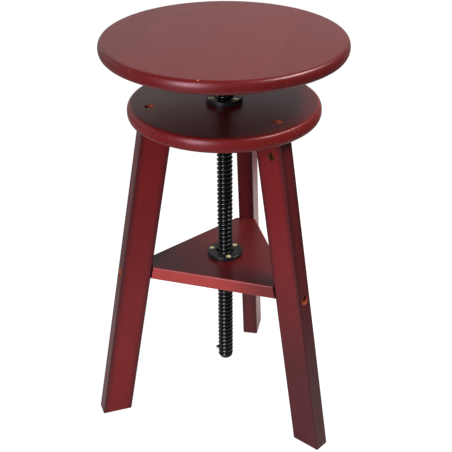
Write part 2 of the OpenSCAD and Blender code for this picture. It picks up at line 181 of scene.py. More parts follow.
class Shader:
    """Node tree of one material or world, with the short methods that fill it."""

    def __init__(self, tree: bpy.types.NodeTree) -> None:
        """Takes a node tree and empties it."""
        self.tree = tree
        tree.nodes.clear()

    def add(
        self,
        kind: str,
        settings: dict[str, object] | None = None,
        inputs: dict[str | int, object] | None = None,
        output: str | int = 0,
    ) -> Value:
        """Adds one node, which is the only way that a node is made.

        Args:
            kind: The node's type.
            settings: The node's own settings, set before its sockets.
            inputs: Values or links of its input sockets, by name or place.
            output: Name or place of the output that is wanted.

        Returns:
            The wanted output, wrapped.
        """
        node = self.tree.nodes.new(kind)
        for name, setting in (settings or {}).items():
            setattr(node, name, setting)
        for name, given in (inputs or {}).items():
            if isinstance(given, Value):
                self.tree.links.new(given.socket, node.inputs[name])
            else:
                node.inputs[name].default_value = given
        return Value(self, node.outputs[output] if node.outputs else None)

    def math(self, operation: str, *terms: Value | float) -> Value:
        """Result of a Math node with its terms in order."""
        return self.add("ShaderNodeMath", {"operation": operation}, dict(enumerate(terms)))

    def axes(self, vector: Value) -> list[Value]:
        """The three parts of a vector."""
        parts = self.add("ShaderNodeSeparateXYZ", None, {0: vector}).socket.node.outputs
        return [Value(self, part) for part in parts]

    def objects_own(self) -> Value:
        """The piece's own Object coordinates."""
        return self.add("ShaderNodeTexCoord", output="Object")

    def carried(self, name: str) -> Value:
        """A vector that the mesh carries as an attribute of that name."""
        return self.add("ShaderNodeAttribute", {"attribute_name": name}, output="Vector")

    def noise(self, vector: Value, kind: Noise, shift: Colour = (0, 0, 0)) -> Value:
        """Smooth noise between 0 and 1, read at the vector times its cells, plus a shift.

        Args:
            vector: Where the noise is read.
            kind: Which noise it is.
            shift: What is added to the scaled vector.

        Returns:
            The noise.
        """
        scaled = {0: vector, 1: kind.cells, 2: shift}
        place = self.add("ShaderNodeVectorMath", {"operation": "MULTIPLY_ADD"}, scaled)
        inputs = {"Vector": place, "Scale": 1.0, "Detail": kind.layers}
        inputs |= {"Roughness": kind.rough, "Distortion": kind.warp}
        return self.add("ShaderNodeTexNoise", None, inputs)

    def mix(self, share: Value | float, first: object, second: object) -> Value:
        """Blends two colours.

        Args:
            share: Share of the second colour, the node's socket 0.
            first: The colour at a share of 0, socket 6.
            second: The colour at a share of 1, socket 7.

        Returns:
            The blend, output 2.
        """
        pair = (given if isinstance(given, Value) else (*given, 1.0) for given in (first, second))
        inputs = dict(zip((0, 6, 7), (share, *pair)))
        return self.add("ShaderNodeMix", {"data_type": "RGBA"}, inputs, 2)

    def toned(self, colour: Value | Colour, tone: Value) -> Value:
        """A colour made lighter or darker by a factor."""
        inputs = {0: colour, "Scale": tone}
        return self.add("ShaderNodeVectorMath", {"operation": "SCALE"}, inputs)

    def bump(self, height: Value, strength: float, distance: float) -> Value:
        """A normal that follows a height, of which 1 stands for the distance in metres."""
        inputs = {"Strength": strength, "Distance": distance, "Height": height}
        return self.add("ShaderNodeBump", None, inputs)


def new_material(name: str) -> tuple[bpy.types.Material, Shader]:
    """A new material, and the shader that fills its node tree.

    Args:
        name: The material's name.

    Returns:
        The material and the shader.
    """
    made = bpy.data.materials.new(name)
    made.use_nodes = True
    return made, Shader(made.node_tree)


MADE: dict[str, bpy.types.Material] = {}


@dataclass(frozen=True)
class Finish:
    """A finish, which makes one material of its name.

    A pair named for a fade holds where it is 0 and where it is 1. A pair named relief holds the
    strength and the height of a bump.
    """

    name: str

    def sockets(self, shader: Shader) -> Sockets:
        """Values and links of the surface shader's sockets."""
        raise NotImplementedError

    def material(self) -> bpy.types.Material:
        """Makes the material on the first call.

        Returns:
            The material.
        """
        if self.name not in MADE:
            MADE[self.name], shader = new_material(self.name)
            surface = shader.add("ShaderNodeBsdfPrincipled", None, self.sockets(shader))
            shader.add("ShaderNodeOutputMaterial", None, {"Surface": surface})
        return MADE[self.name]


@dataclass(frozen=True)
class StainedWood(Finish):
    """Red stain under satin lacquer, sprayed darker along the edges of every face.

    The mesh carries "board": its place along the grain, across it and through the board,
    measured from the board's middle, though a leg's length is measured from its foot. A tone is
    how far that part of the pattern lightens or darkens the stain.
    """

    kind: BoardKind = BoardKind.PLANK
    reach: float = 0.1
    half_thick: float = 0.01
    seed: float = 0.0
    seed_skew: float = 0.37

    heart: Colour = (0.124, 0.0070, 0.0080)
    rim: Colour = (0.106, 0.0060, 0.0065)
    # Darkest colour: the dark spray along the edges, and also painted shade along the shelf's front
    burnt_and_shade: Colour = (0.030, 0.0050, 0.0070)
    chipped: Colour = (0.42, 0.14, 0.06)
    # Colour of a small orange spot on the seat's rim
    orange_spot_colour: Colour = (0.62, 0.22, 0.08)

    gloss: float = 0.33
    gloss_spread: float = 0.08
    ior: float = 1.52
    sheen: Colour = (1.0, 0.65, 0.70)

    clouds: Noise = Noise((7, 16, 16), 3, 0.55)
    smears: Noise = Noise((30, 70, 70), 4, 0.6, 0.2)
    grain: Noise = Noise((11, 330, 330), 4, 0.65)
    pores: Noise = Noise((90, 2300, 2300), 1, 0.5)
    specks: Noise = Noise((420, 420, 420), 2, 0.5)
    glow: float = 0.16
    grain_tone: float = 0.16
    smear_tone: float = 0.12
    smear_fade: Pair = (0.6, 0.8)
    pore_tone: float = 0.05
    pore_fade: Pair = (0.62, 0.75)
    stave: float = 0.0
    stave_start: float = 0.0
    stave_tone: float = 0.14
    grain_relief: float = 0.6
    pore_relief: float = 0.4
    relief: Pair = (0.04, 0.06 * MM)

    rim_width: float = 2.5 * MM
    rim_solid: float = 0.6
    burnt_share: float = 0.6
    burnt_width: float = 9 * MM
    darkening_least: float = 0.75
    darkening_clouds: float = 0.5
    # How much darker a leg gets towards its foot
    foot_darkening: float = 0.0
    foot_fade: Pair = (0.36, 0.10)
    # Painted shade: darkens the shelf's broad faces along its front side, and its narrow faces towards
    # one end
    front_shade: float = 0.0
    front_fade: Pair = (70 * MM, 15 * MM)
    front_shade_tip_length: float = 90 * MM

    wear: float = 0.0
    speck_fade: Pair = (0.69, 0.72)
    round_worn_fade: Pair = (6 * MM, 3 * MM)
    edge_worn_fade: Pair = (3 * MM, 1 * MM)
    # Place of a small orange spot on the seat's rim
    orange_spot: Colour | None = None
    orange_spot_fade: Pair = (1.6 * MM, 0.8 * MM)

    def plan_distance(self, along: Value, across: Value) -> Value:
        """Distance from the board's outline, seen square to its broad face.

        A plank has only its two long sides, a round board has its circle, and the triangle is
        the least of the distances from three lines that lie a third of a turn apart.

        Args:
            along: Place along the grain.
            across: Place across the grain.

        Returns:
            The distance, positive inside.
        """
        if self.kind is BoardKind.PLANK:
            return self.reach - abs(across)
        if self.kind is BoardKind.ROUND:
            return self.reach - along.length(across)
        cosine, sine = 1 / 2, math.sqrt(3) / 2
        one = across * cosine + along * sine
        two = across * cosine - along * sine
        return self.reach - one.most(two).most(across * -1)

    def tone(self, shader: Shader, across: Value, layers: Sequence[Value]) -> Value:
        """How light the stain is.

        Args:
            shader: The finish's shader.
            across: Place across the grain.
            layers: The clouds, smears, grain and pores.

        Returns:
            A factor about 1.
        """
        clouds, smears, grain, pores = layers
        tone = 1 + clouds.spread(self.glow * 2) + grain.spread(self.grain_tone)
        tone = tone - smears.fade(*self.smear_fade) * self.smear_tone
        tone = tone - pores.fade(*self.pore_fade) * self.pore_tone
        if self.stave:
            number = ((across - self.stave_start) / self.stave).floor() + self.seed
            chance = shader.add("ShaderNodeTexWhiteNoise", {"noise_dimensions": "1D"}, {"W": number})
            tone = tone + chance.spread(self.stave_tone)
        return tone

    def darkening(self, edge: Value, rim: Value, along: Value, across: Value) -> Value:
        """Share of the darkest colour: the dark spray, the darkening towards a leg's foot and the painted
        shade along the shelf's front.

        Args:
            edge: Distance from the nearest edge of a face.
            rim: 1 on the narrow faces and 0 on the broad ones.
            along: Place along the grain.
            across: Place across the grain.

        Returns:
            The share.
        """
        darkening = edge.fade(self.burnt_width, 0.0) * self.burnt_share
        # Darker towards a leg's foot
        if self.foot_darkening:
            darkening = darkening.most(along.fade(*self.foot_fade) * self.foot_darkening)
        # Painted shade along the shelf's front margin and at one end of its front edge
        if self.front_shade:
            margin = (across + self.reach).fade(*self.front_fade) * (1 - rim)
            tip = rim * along.fade(0.0, self.front_shade_tip_length)
            darkening = darkening.most(margin.most(tip) * self.front_shade)
        return darkening

    def sockets(self, shader: Shader) -> Sockets:
        """The stain's colour, gloss and relief.

        Args:
            shader: The finish's shader.

        Returns:
            Values and links by the sockets' names.
        """
        board = shader.carried("board")
        along, across, through = shader.axes(board)
        outline = self.plan_distance(along, across)
        edge = outline.most(self.half_thick - abs(through))
        rim = outline.fade(self.rim_width, self.rim_width * self.rim_solid)
        shift = (self.seed, self.seed * self.seed_skew, 0.0)
        kinds = (self.clouds, self.smears, self.grain, self.pores)
        layers = [shader.noise(board, kind, shift) for kind in kinds]
        clouds, smears, grain, pores = layers
        darkening = self.darkening(edge, rim, along, across)
        stain = shader.mix(rim, self.heart, self.rim)
        stain = shader.mix(darkening * (self.darkening_least + clouds * self.darkening_clouds), stain, self.burnt_and_shade)
        stain = shader.toned(stain, self.tone(shader, across, layers))
        if self.wear:
            is_round = self.kind is BoardKind.ROUND
            worn = outline.fade(*self.round_worn_fade) if is_round else edge.fade(*self.edge_worn_fade)
            specks = shader.noise(board, self.specks, shift).fade(*self.speck_fade)
            stain = shader.mix(specks * worn * self.wear, stain, self.chipped)
        # A small orange spot on the seat's rim
        if self.orange_spot:
            ends = {0: shader.objects_own(), 1: self.orange_spot}
            away = shader.add("ShaderNodeVectorMath", {"operation": "DISTANCE"}, ends, "Value")
            stain = shader.mix(away.fade(*self.orange_spot_fade), stain, self.orange_spot_colour)
        height = grain * self.grain_relief + pores * self.pore_relief
        return {
            "Base Color": stain,
            "Roughness": self.gloss + clouds.spread(self.gloss_spread) + smears.spread(self.gloss_spread),
            "IOR": self.ior,
            "Specular Tint": (*self.sheen, 1.0),
            "Normal": shader.bump(height, *self.relief),
        }


@dataclass(frozen=True)
class RawWood(Finish):
    """Freshly bored wood that has soaked up a little orange stain."""

    pale: Colour = (0.42, 0.075, 0.018)
    dark: Colour = (0.17, 0.022, 0.008)
    fibres: Noise = Noise((300, 300, 1800), 3, 0.6)
    fibre_share: float = 0.6
    patches: Noise = Noise((160, 160, 160), 2, 0.5)
    patch_share: float = 0.4
    patch_fade: Pair = (0.3, 0.8)
    gloss: float = 0.75
    gloss_spread: float = 0.2
    relief: Pair = (0.5, 0.2 * MM)

    def sockets(self, shader: Shader) -> Sockets:
        """Orange fibres with a dull surface.

        Args:
            shader: The finish's shader.

        Returns:
            Values and links by the sockets' names.
        """
        place = shader.objects_own()
        fibres = shader.noise(place, self.fibres)
        patches = shader.noise(place, self.patches).fade(*self.patch_fade)
        share = fibres * self.fibre_share + patches * self.patch_share
        return {
            "Base Color": shader.mix(share, self.pale, self.dark),
            "Roughness": self.gloss + fibres.spread(self.gloss_spread),
            "Normal": shader.bump(fibres, *self.relief),
        }


@dataclass(frozen=True)
class BlackSteel(Finish):
    """Black-finished steel, with faint bare metal where it rubs and painted shade in the roots of its
    thread.

    Both lie between two distances from the screw's axis, so the first shows on the crests.
    """

    colour: Colour = (0.005, 0.005, 0.006)
    dusty: Colour = (0.022, 0.022, 0.025)
    rubbed: Colour = (0.06, 0.06, 0.065)
    gloss: float = 0.2
    ior: float = 1.6
    rub_fade: Pair = (11.5 * MM, 12.1 * MM)
    rub_share: float = 0.0
    # Painted shade: a metallic black in the thread's roots darkens their reflections
    root_shade_fade: Pair = (11.6 * MM, 10.2 * MM)
    root_shade_share: float = 0.0
    dust: Noise = Noise((60, 60, 60), 4, 0.65)
    dust_fade: Pair = (0.5, 0.9)
    dust_share: float = 0.3
    dust_gloss: float = 0.1
    dust_relief: float = 0.2
    rub_dust_fade: Pair = (0.35, 0.75)
    fine: Noise = Noise((1700, 1700, 1700), 2, 0.6)
    grit: float = 0.0
    grit_gloss: float = 0.2
    relief: Pair = (0.2, 0.04 * MM)

    def sockets(self, shader: Shader) -> Sockets:
        """Near-black coat with dust, rubbed crests and grit.

        Args:
            shader: The finish's shader.

        Returns:
            Values and links by the sockets' names.
        """
        place = shader.objects_own()
        dust, fine = shader.noise(place, self.dust), shader.noise(place, self.fine)
        x, y, _ = shader.axes(place)
        from_axis = x.length(y)
        rub = from_axis.fade(*self.rub_fade) * dust.fade(*self.rub_dust_fade) * self.rub_share
        grey = shader.mix(dust.fade(*self.dust_fade) * self.dust_share, self.colour, self.dusty)
        roughness = self.gloss + dust.spread(self.dust_gloss) + fine.spread(self.grit * self.grit_gloss)
        return {
            "Base Color": shader.mix(rub, grey, self.rubbed),
            "Roughness": roughness,
            # Painted shade in the thread's roots
            "Metallic": from_axis.fade(*self.root_shade_fade) * self.root_shade_share,
            "IOR": self.ior,
            "Normal": shader.bump(fine * self.grit + dust * self.dust_relief, *self.relief),
        }


@dataclass(frozen=True)
class Metal(Finish):
    """Bare or plated metal with tarnish in patches and fine turning marks."""

    bright: Colour = (0.80, 0.62, 0.30)
    tarnish: Colour = (0.35, 0.22, 0.08)
    tarnish_share: float = 0.3
    metallic: float = 1.0
    gloss: float = 0.25
    tarnish_gloss: float = 0.35
    fine_gloss: float = 0.12
    patches: Noise = Noise((420, 420, 420), 4, 0.6, 0.5)
    patch_fade: Pair = (0.35, 0.75)
    fine: Noise = Noise((2600, 2600, 2600), 2, 0.5)
    relief: Pair = (0.3, 0.02 * MM)

    def sockets(self, shader: Shader) -> Sockets:
        """Metal whose tarnished patches are duller.

        Args:
            shader: The finish's shader.

        Returns:
            Values and links by the sockets' names.
        """
        place = shader.objects_own()
        fine = shader.noise(place, self.fine)
        dull = shader.noise(place, self.patches).fade(*self.patch_fade) * self.tarnish_share
        return {
            "Base Color": shader.mix(dull, self.bright, self.tarnish),
            "Metallic": self.metallic,
            "Roughness": self.gloss + dull * self.tarnish_gloss + fine.spread(self.fine_gloss),
            "Normal": shader.bump(fine, *self.relief),
        }


@dataclass(frozen=True)
class Plastic(Finish):
    """Off-white nylon with a waxy surface."""

    colour: Colour = (0.72, 0.70, 0.64)
    cloudy: Colour = (0.50, 0.48, 0.42)
    cloudy_share: float = 0.3
    mottle: Noise = Noise((500, 500, 500), 3, 0.6)
    gloss: float = 0.42
    gloss_spread: float = 0.1
    relief: Pair = (0.2, 0.05 * MM)

    def sockets(self, shader: Shader) -> Sockets:
        """Waxy, slightly mottled plastic.

        Args:
            shader: The finish's shader.

        Returns:
            Values and links by the sockets' names.
        """
        mottle = shader.noise(shader.objects_own(), self.mottle)
        return {
            "Base Color": shader.mix(mottle * self.cloudy_share, self.colour, self.cloudy),
            "Roughness": self.gloss + mottle.spread(self.gloss_spread),
            "Normal": shader.bump(mottle, *self.relief),
        }


SEAT_STAIN = StainedWood(
    "seat_stain_wood", BoardKind.ROUND, seed=3.0, rim_width=8 * MM, burnt_share=0.35,
    burnt_width=4 * MM, stave=99 * MM, stave_start=11 * MM, glow=0.07, wear=0.5,
)
# The heart is kept far darker than the rim, which partly paints in the shade that the seat casts on the
# disc's top
DISC_STAIN = StainedWood(
    "disc_stain_wood", BoardKind.ROUND, seed=11.0, heart=(0.062, 0.0045, 0.0050),
    rim=(0.138, 0.0085, 0.0085), ior=1.46, rim_width=8 * MM, burnt_share=0.3,
    burnt_width=4 * MM, stave=80 * MM, glow=0.08, wear=0.8,
)
LEG_STAIN = StainedWood(
    "leg_stain_wood", BoardKind.PLANK, heart=(0.158, 0.0078, 0.0088), rim=(0.086, 0.0068, 0.0078),
    burnt_share=0.65, burnt_width=12 * MM, glow=0.3, wear=0.25,
)
# The narrow sides' rim colour is far lighter than the heart: partly a lighter stain, partly painted light
# where the front side faces the lamps
SHELF_STAIN = StainedWood(
    "shelf_stain_wood", BoardKind.TRIANGLE, seed=41.0, heart=(0.092, 0.0052, 0.0056),
    # The front share is painted shade along the side nearest the camera
    rim=(0.350, 0.042, 0.034), gloss=0.34, burnt_share=0.45, burnt_width=3 * MM, front_shade=0.6,
    glow=0.1,
)
SHELF_END = StainedWood("shelf_end_wood", heart=(0.022, 0.004, 0.005), burnt_share=0.3, seed=43.0)
RAW = RawWood("raw_orange_wood")
PINE = RawWood("pale_pin_wood", pale=(0.62, 0.42, 0.22), dark=(0.40, 0.24, 0.11))
# The rod's thread roots get painted shade
ROD_BLACK = BlackSteel("black_rod_steel", rub_share=0.15, root_shade_share=0.85)
FLANGE_BLACK = BlackSteel(
    "black_flange_coat", colour=(0.007, 0.007, 0.008), gloss=0.36, grit=0.6, ior=1.45
)
BRASS = Metal(
    "pale_brass", bright=(0.98, 0.88, 0.52), tarnish=(0.80, 0.62, 0.30), tarnish_share=0.1,
    gloss=0.38, metallic=0.8,
)
AGED = Metal(
    "aged_brass", bright=(0.22, 0.07, 0.03), tarnish=(0.03, 0.012, 0.008), tarnish_share=0.7
)
ZINC = Metal("zinc_plate", bright=(0.62, 0.63, 0.65), tarnish=(0.38, 0.37, 0.35), gloss=0.3)
NYLON = Plastic("white_nylon")


@dataclass
class Skin:
    """A closed surface as arrays of points, four-cornered faces and triangles."""

    points: np.ndarray
    quads: np.ndarray = field(default_factory=lambda: np.zeros((0, 4), int))
    triangles: np.ndarray = field(default_factory=lambda: np.zeros((0, 3), int))

    def volume(self) -> float:
        """Signed volume: the sum over all triangles of p0 . (p1 x p2) / 6.

        Returns:
            The volume, positive where the faces point outwards.
        """
        halves = [self.triangles, self.quads[:, :3], self.quads[:, [0, 2, 3]]]
        a, b, c = (self.points[np.concatenate(halves)[:, i]] for i in range(3))
        return float(np.einsum("ij,ij->", a, np.cross(b, c)) / 6)

    def outward(self) -> "Skin":
        """The same surface with its faces pointing outwards."""
        turned_round = Skin(self.points, self.quads[:, ::-1], self.triangles[:, ::-1])
        return self if self.volume() > 0 else turned_round

    def placed(self, origin: Iterable[float], turn: np.ndarray | None = None) -> "Skin":
        """The same surface at an origin, with its own axes along the columns of a turn."""
        points = self.points if turn is None else self.points @ turn.T
        return Skin(points + np.array(list(origin)), self.quads, self.triangles)

    @staticmethod
    def joined(parts: Sequence["Skin"]) -> "Skin":
        """Several surfaces as one.

        Args:
            parts: The surfaces, which don't have to touch.

        Returns:
            The one surface.
        """
        starts = np.cumsum([0] + [len(part.points) for part in parts])
        return Skin(
            np.concatenate([part.points for part in parts]),
            np.concatenate([part.quads + start for part, start in zip(parts, starts)]),
            np.concatenate([part.triangles + start for part, start in zip(parts, starts)]),
        )

    def copies(self, spots: Spots) -> "Skin":
        """One copy at each spot, which is a place and may have a turn, as one surface."""
        return Skin.joined([self.placed(*spot) for spot in spots])

    def mesh(self, name: str) -> bpy.types.Mesh:
        """Makes a Blender mesh of the surface.

        Args:
            name: The mesh's name.

        Returns:
            The mesh.
        """
        made = bpy.data.meshes.new(name)
        made.from_pydata(self.points, [], [*self.quads.tolist(), *self.triangles.tolist()])
        made.update()
        return made


def unit(vectors: np.ndarray) -> np.ndarray:
    """Vectors of length 1 in the directions of the given ones."""
    return vectors / np.maximum(np.linalg.norm(vectors, axis=-1, keepdims=True), SHORTEST)


def polar(radius: float, degrees: float, height: float = 0.0) -> np.ndarray:
    """Point at a distance and azimuth from the screw's axis, at a height."""
    angle = math.radians(degrees)
    return np.array([radius * math.cos(angle), radius * math.sin(angle), height])


def basis(axis: Iterable[float], near: Iterable[float] = (0, 0, 1)) -> np.ndarray:
    """Matrix of three unit axes as columns, the last of which is the given axis.

    Args:
        axis: Direction of the third column.
        near: Direction that the first column follows as closely as it can.

    Returns:
        The matrix.
    """
    third, near = unit(np.array(list(axis), float)), np.array(list(near), float)
    nearly_parallel = 0.99
    if abs(near @ third) > nearly_parallel:
        near = np.array([1.0, 0, 0])
    first = unit(near - (near @ third) * third)
    return np.stack([first, np.cross(third, first), third], axis=1)


def eased(corners: Corners, closed: bool = False, steps: int = 5) -> np.ndarray:
    """Line through corners (a, b, radius), each of them rounded by an arc.

    The arc touches both sides at radius / tan(half the corner's angle), and its points are the
    centre plus the two touching radii, blended as sin((1 - t) w) / sin w and sin(t w) / sin w.
    Half the angle is held just clear of a fold and of a straight line, where these fail.

    Args:
        corners: Corners in order, with the radius at each.
        closed: Whether the last corner is joined to the first.
        steps: Segments in each arc.

    Returns:
        The points in order, with none given twice.
    """
    from_fold, from_straight = 1e-3, 1e-6
    table = np.array(corners, float)
    places, radii = table[:, :2], table[:, 2]
    if not closed:
        radii = np.concatenate([[0], radii[1:-1], [0]])
    back = unit(np.roll(places, 1, axis=0) - places)
    ahead = unit(np.roll(places, -1, axis=0) - places)
    half = np.arccos(np.clip((back * ahead).sum(1), -1, 1)) / 2
    half = np.clip(half, from_fold, math.pi / 2 - from_straight)
    reach = (radii / np.tan(half))[:, None]
    centre = places + unit(back + ahead) * (radii / np.sin(half))[:, None]
    sweep = (math.pi - 2 * half)[:, None]
    share = np.linspace(0, 1, steps + 1)[None, :]
    first = (np.sin((1 - share) * sweep) / np.sin(sweep))[..., None]
    second = (np.sin(share * sweep) / np.sin(sweep))[..., None]
    start, end = places + back * reach - centre, places + ahead * reach - centre
    arcs = centre[:, None] + first * start[:, None] + second * end[:, None]
    line = np.where((radii > 0)[:, None, None], arcs, places[:, None]).reshape(-1, 2)
    gaps = np.linalg.norm(line - np.roll(line, 1, axis=0), axis=1)
    gaps[0] = gaps[0] if closed else 1
    return line[gaps > SAME_PLACE]


def grid(rows: int, columns: int, around: bool = False) -> np.ndarray:
    """Faces of a grid of points whose rows close into rings.

    Args:
        rows: Number of rows of points.
        columns: Number of points in a row.
        around: Whether the last row is joined to the first.

    Returns:
        The faces, four corners each.
    """
    row = np.arange(rows if around else rows - 1)[:, None]
    column = np.arange(columns)[None, :]
    following, beside = (row + 1) % rows, (column + 1) % columns
    corners = [(row, column), (row, beside), (following, beside), (following, column)]
    return np.stack([(r * columns + c).ravel() for r, c in corners], axis=1)


def lofted(rows: np.ndarray) -> Skin:
    """Closed surface through rings of points, with each end closed to its middle.

    Args:
        rows: The rings, as an array of rings by points by three.

    Returns:
        The surface, whose last two points are the middles.
    """
    count, sides = rows.shape[:2]
    column = np.arange(sides)
    beside = (column + 1) % sides
    low = np.stack([np.full(sides, count * sides), beside, column], axis=1)
    last = (count - 1) * sides
    high = np.stack([np.full(sides, count * sides + 1), last + column, last + beside], axis=1)
    points = np.concatenate([rows.reshape(-1, 3), rows[[0, -1]].mean(axis=1)])
    return Skin(points, grid(count, sides), np.concatenate([low, high])).outward()


def rings(profile: np.ndarray, sides: int) -> np.ndarray:
    """Rings about z with points (r cos a, r sin a, z), one for each point of a profile.

    Args:
        profile: Points (r, z).
        sides: Points in a ring.

    Returns:
        The rings, as an array of rings by points by three.
    """
    angle = np.linspace(0, 2 * math.pi, sides, endpoint=False)
    x, y = profile[:, :1] * np.cos(angle), profile[:, :1] * np.sin(angle)
    return np.stack([x, y, np.repeat(profile[:, 1:], sides, axis=1)], axis=2)


def turned(profile: np.ndarray, sides: int) -> Skin:
    """Solid of revolution about z, from a profile (r, z) that starts and ends on the axis.

    Args:
        profile: The profile's points.
        sides: Points in a ring.

    Returns:
        The surface, with its middle points on the axis.
    """
    made = lofted(rings(profile[1:-1], sides))
    made.points[-2, 2], made.points[-1, 2] = profile[0, 1], profile[-1, 1]
    return made


def spun(corners: Corners, sides: int) -> Skin:
    """Solid of revolution about z, from the corners (r, z, radius) of its profile."""
    return turned(eased(corners), sides)


def cylinder(radius: float, low: float, high: float, sides: int) -> Skin:
    """Cylinder about z between two heights."""
    return spun([(0, low, 0), (radius, low, 0), (radius, high, 0), (0, high, 0)], sides)


def prism(outline: np.ndarray, heights: Sequence[float], scales: Sequence[float]) -> Skin:
    """Outline in the xy plane, carried along z and scaled at each height.

    Args:
        outline: Points (x, y) of the outline.
        heights: Heights of the rings.
        scales: Scale of the outline at each height.

    Returns:
        The surface.
    """
    flat = outline[None] * np.array(scales)[:, None, None]
    height = np.broadcast_to(np.array(heights)[:, None, None], (*flat.shape[:2], 1))
    return lofted(np.concatenate([flat, height], axis=2))


def round_board(radius: float, low: float, high: float, rim: float, power: float = 2.2) -> Skin:
    """Flat round board whose rim is one full curve from face to face.

    Over the rim, (inset from the flat faces / rim)^power + (height / half the board)^power = 1,
    which at a power of 2 is half an ellipse.

    Args:
        radius: Outer radius.
        low: Height of the lower face.
        high: Height of the upper face.
        rim: How far the curve reaches in from the outer radius.
        power: Fullness of the curve.

    Returns:
        The surface.
    """
    curve_points, flat_shares = 29, (0.0, 0.35, 0.7, 0.9, 0.985)
    flat = np.array(flat_shares) * (radius - rim)
    turn = np.linspace(math.pi / 2, -math.pi / 2, curve_points)
    out = np.abs(np.cos(turn)) ** (2 / power) * rim + radius - rim
    up = np.sign(turn) * np.abs(np.sin(turn)) ** (2 / power) * (high - low) / 2
    upper = np.stack([flat, np.full(len(flat), high)], axis=1)
    lower = np.stack([flat[::-1], np.full(len(flat), low)], axis=1)
    curve = np.stack([out, up + (high + low) / 2], axis=1)
    return turned(np.concatenate([upper, curve, lower]), BOARD_SIDES)


@dataclass(frozen=True)
class Thread:
    """Rounded right-hand thread, whose radius swells as a power of a cosine."""

    crest: float = 12 * MM
    depth: float = 2 * MM
    pitch: float = 7.2 * MM
    crest_share: float = 0.64
    power: float = 3.0
    sides: int = 40
    waves: int = 12

    def skin(self, low: float, high: float, grow: float = 0.0) -> Skin:
        """Core with its thread, a turn longer than asked at each end.

        A point at turn t and share s of the pitch lies at the angle 2 pi t, at the height
        (t + s) pitch and at the radius root + depth |cos(pi (s - crest share))|^power. The last
        share of one turn is the first share of the next, so the strip closes on itself.

        Args:
            low: Height that it has to reach down to.
            high: Height that it has to reach up to.
            grow: What is added to the radius, for the cut in a nut.

        Returns:
            The surface.
        """
        first = math.floor(low / self.pitch) - 1
        turns = math.ceil(high / self.pitch) + 1 - first
        steps, waves, sides = turns * self.sides, self.waves, self.sides
        step = np.arange(steps + 1)[:, None]
        share = np.arange(waves)[None, :] / waves
        swell = np.abs(np.cos(math.pi * (share - self.crest_share))) ** self.power
        radius = self.crest - self.depth + grow + self.depth * swell
        angle = step / sides * 2 * math.pi
        height = (first + step / sides + share) * self.pitch
        points = np.stack([radius * np.cos(angle), radius * np.sin(angle), height], axis=2)
        index = np.arange((steps + 1) * waves).reshape(steps + 1, waves)
        inner = [index[:-1, :-1], index[1:, :-1], index[1:, 1:], index[:-1, 1:]]
        last = steps - sides
        seam = [index[:last, -1], index[1 : last + 1, -1]]
        seam += [index[sides + 1 : steps + 1, 0], index[sides:steps, 0]]
        quads = [np.stack([part.ravel() for part in corners], 1) for corners in (inner, seam)]
        middles = np.array([[0, 0, first + 0.5], [0, 0, first + turns + 0.5]]) * self.pitch
        low_loop = np.array([*index[sides::-1, 0], *index[0, 1:], index[sides, 0]])
        high_loop = np.array([*index[last:, -1], *index[-1, -2::-1], index[last, -1]])
        ends = [self.fan(index.size, low_loop), self.fan(index.size + 1, high_loop)]
        everything = np.concatenate([points.reshape(-1, 3), middles])
        return Skin(everything, np.concatenate(quads), np.concatenate(ends)).outward()

    @staticmethod
    def fan(middle: int, line: np.ndarray) -> np.ndarray:
        """Triangles from one point to a line of points."""
        return np.stack([np.full(len(line) - 1, middle), line[:-1], line[1:]], axis=1)


@dataclass(frozen=True)
class Bore:
    """Round hole from a mouth into the wood, with a small eased lip."""

    mouth: np.ndarray
    out: np.ndarray
    radius: float
    depth: float
    lip: float = 0.5 * MM
    proud: float = OVERRUN
    wall_share: float = 1.002
    lip_points: int = 5

    def skin(self) -> Skin:
        """What is cut away: a cylinder whose end flares by the lip at the mouth.

        Returns:
            The surface.
        """
        wide = self.radius + self.lip
        corners = [(0, -self.depth, 0), (self.radius, -self.depth, 0)]
        if self.lip:
            turn = np.linspace(0, math.pi / 2, self.lip_points)
            flare = wide - self.lip * np.cos(turn)
            rise = self.lip * np.sin(turn) - self.lip
            corners += [(r, z, 0) for r, z in zip(flare, rise)]
        corners += [(wide, self.proud, 0), (0, self.proud, 0)]
        return spun(corners, SCREW_SIDES).placed(self.mouth, basis(self.out))

    def holds(self, places: np.ndarray) -> np.ndarray:
        """Which places lie in the hole, up to its wall.

        Args:
            places: The places, a row each.

        Returns:
            A mask.
        """
        offset = places - self.mouth
        along = offset @ self.out
        away = np.linalg.norm(offset - along[:, None] * self.out, axis=1)
        inside = (along > -self.depth - SNUG) & (along < self.proud)
        return inside & (away < self.radius * self.wall_share)


def new_object(name: str, data: bpy.types.ID) -> bpy.types.Object:
    """A new object of the scene.

    Args:
        name: The object's name.
        data: The mesh, lamp or camera that it shows.

    Returns:
        The object.
    """
    made = bpy.data.objects.new(name, data)
    bpy.context.scene.collection.objects.link(made)
    return made


def carve(piece: bpy.types.Object, tool: Skin, operation: str = "DIFFERENCE") -> None:
    """Cuts a piece with a tool, or keeps only what they share, and leaves a plain mesh.

    Args:
        piece: The object to cut.
        tool: What cuts it.
        operation: The Boolean modifier's operation.
    """
    cutter = new_object("cutter", tool.outward().mesh("cutter"))
    modifier = piece.modifiers.new("cut", "BOOLEAN")
    modifier.operation = operation
    modifier.solver = "MANIFOLD"
    modifier.object = cutter
    flatten(piece)
    bpy.data.objects.remove(cutter)


def flatten(piece: bpy.types.Object) -> None:
    """Turns a piece and its modifiers into a plain mesh.

    Args:
        piece: The object to change.
    """
    view = bpy.context.evaluated_depsgraph_get()
    done = bpy.data.meshes.new_from_object(piece.evaluated_get(view))
    piece.modifiers.clear()
    old, piece.data = piece.data, done
    done.name = piece.name
    bpy.data.meshes.remove(old)


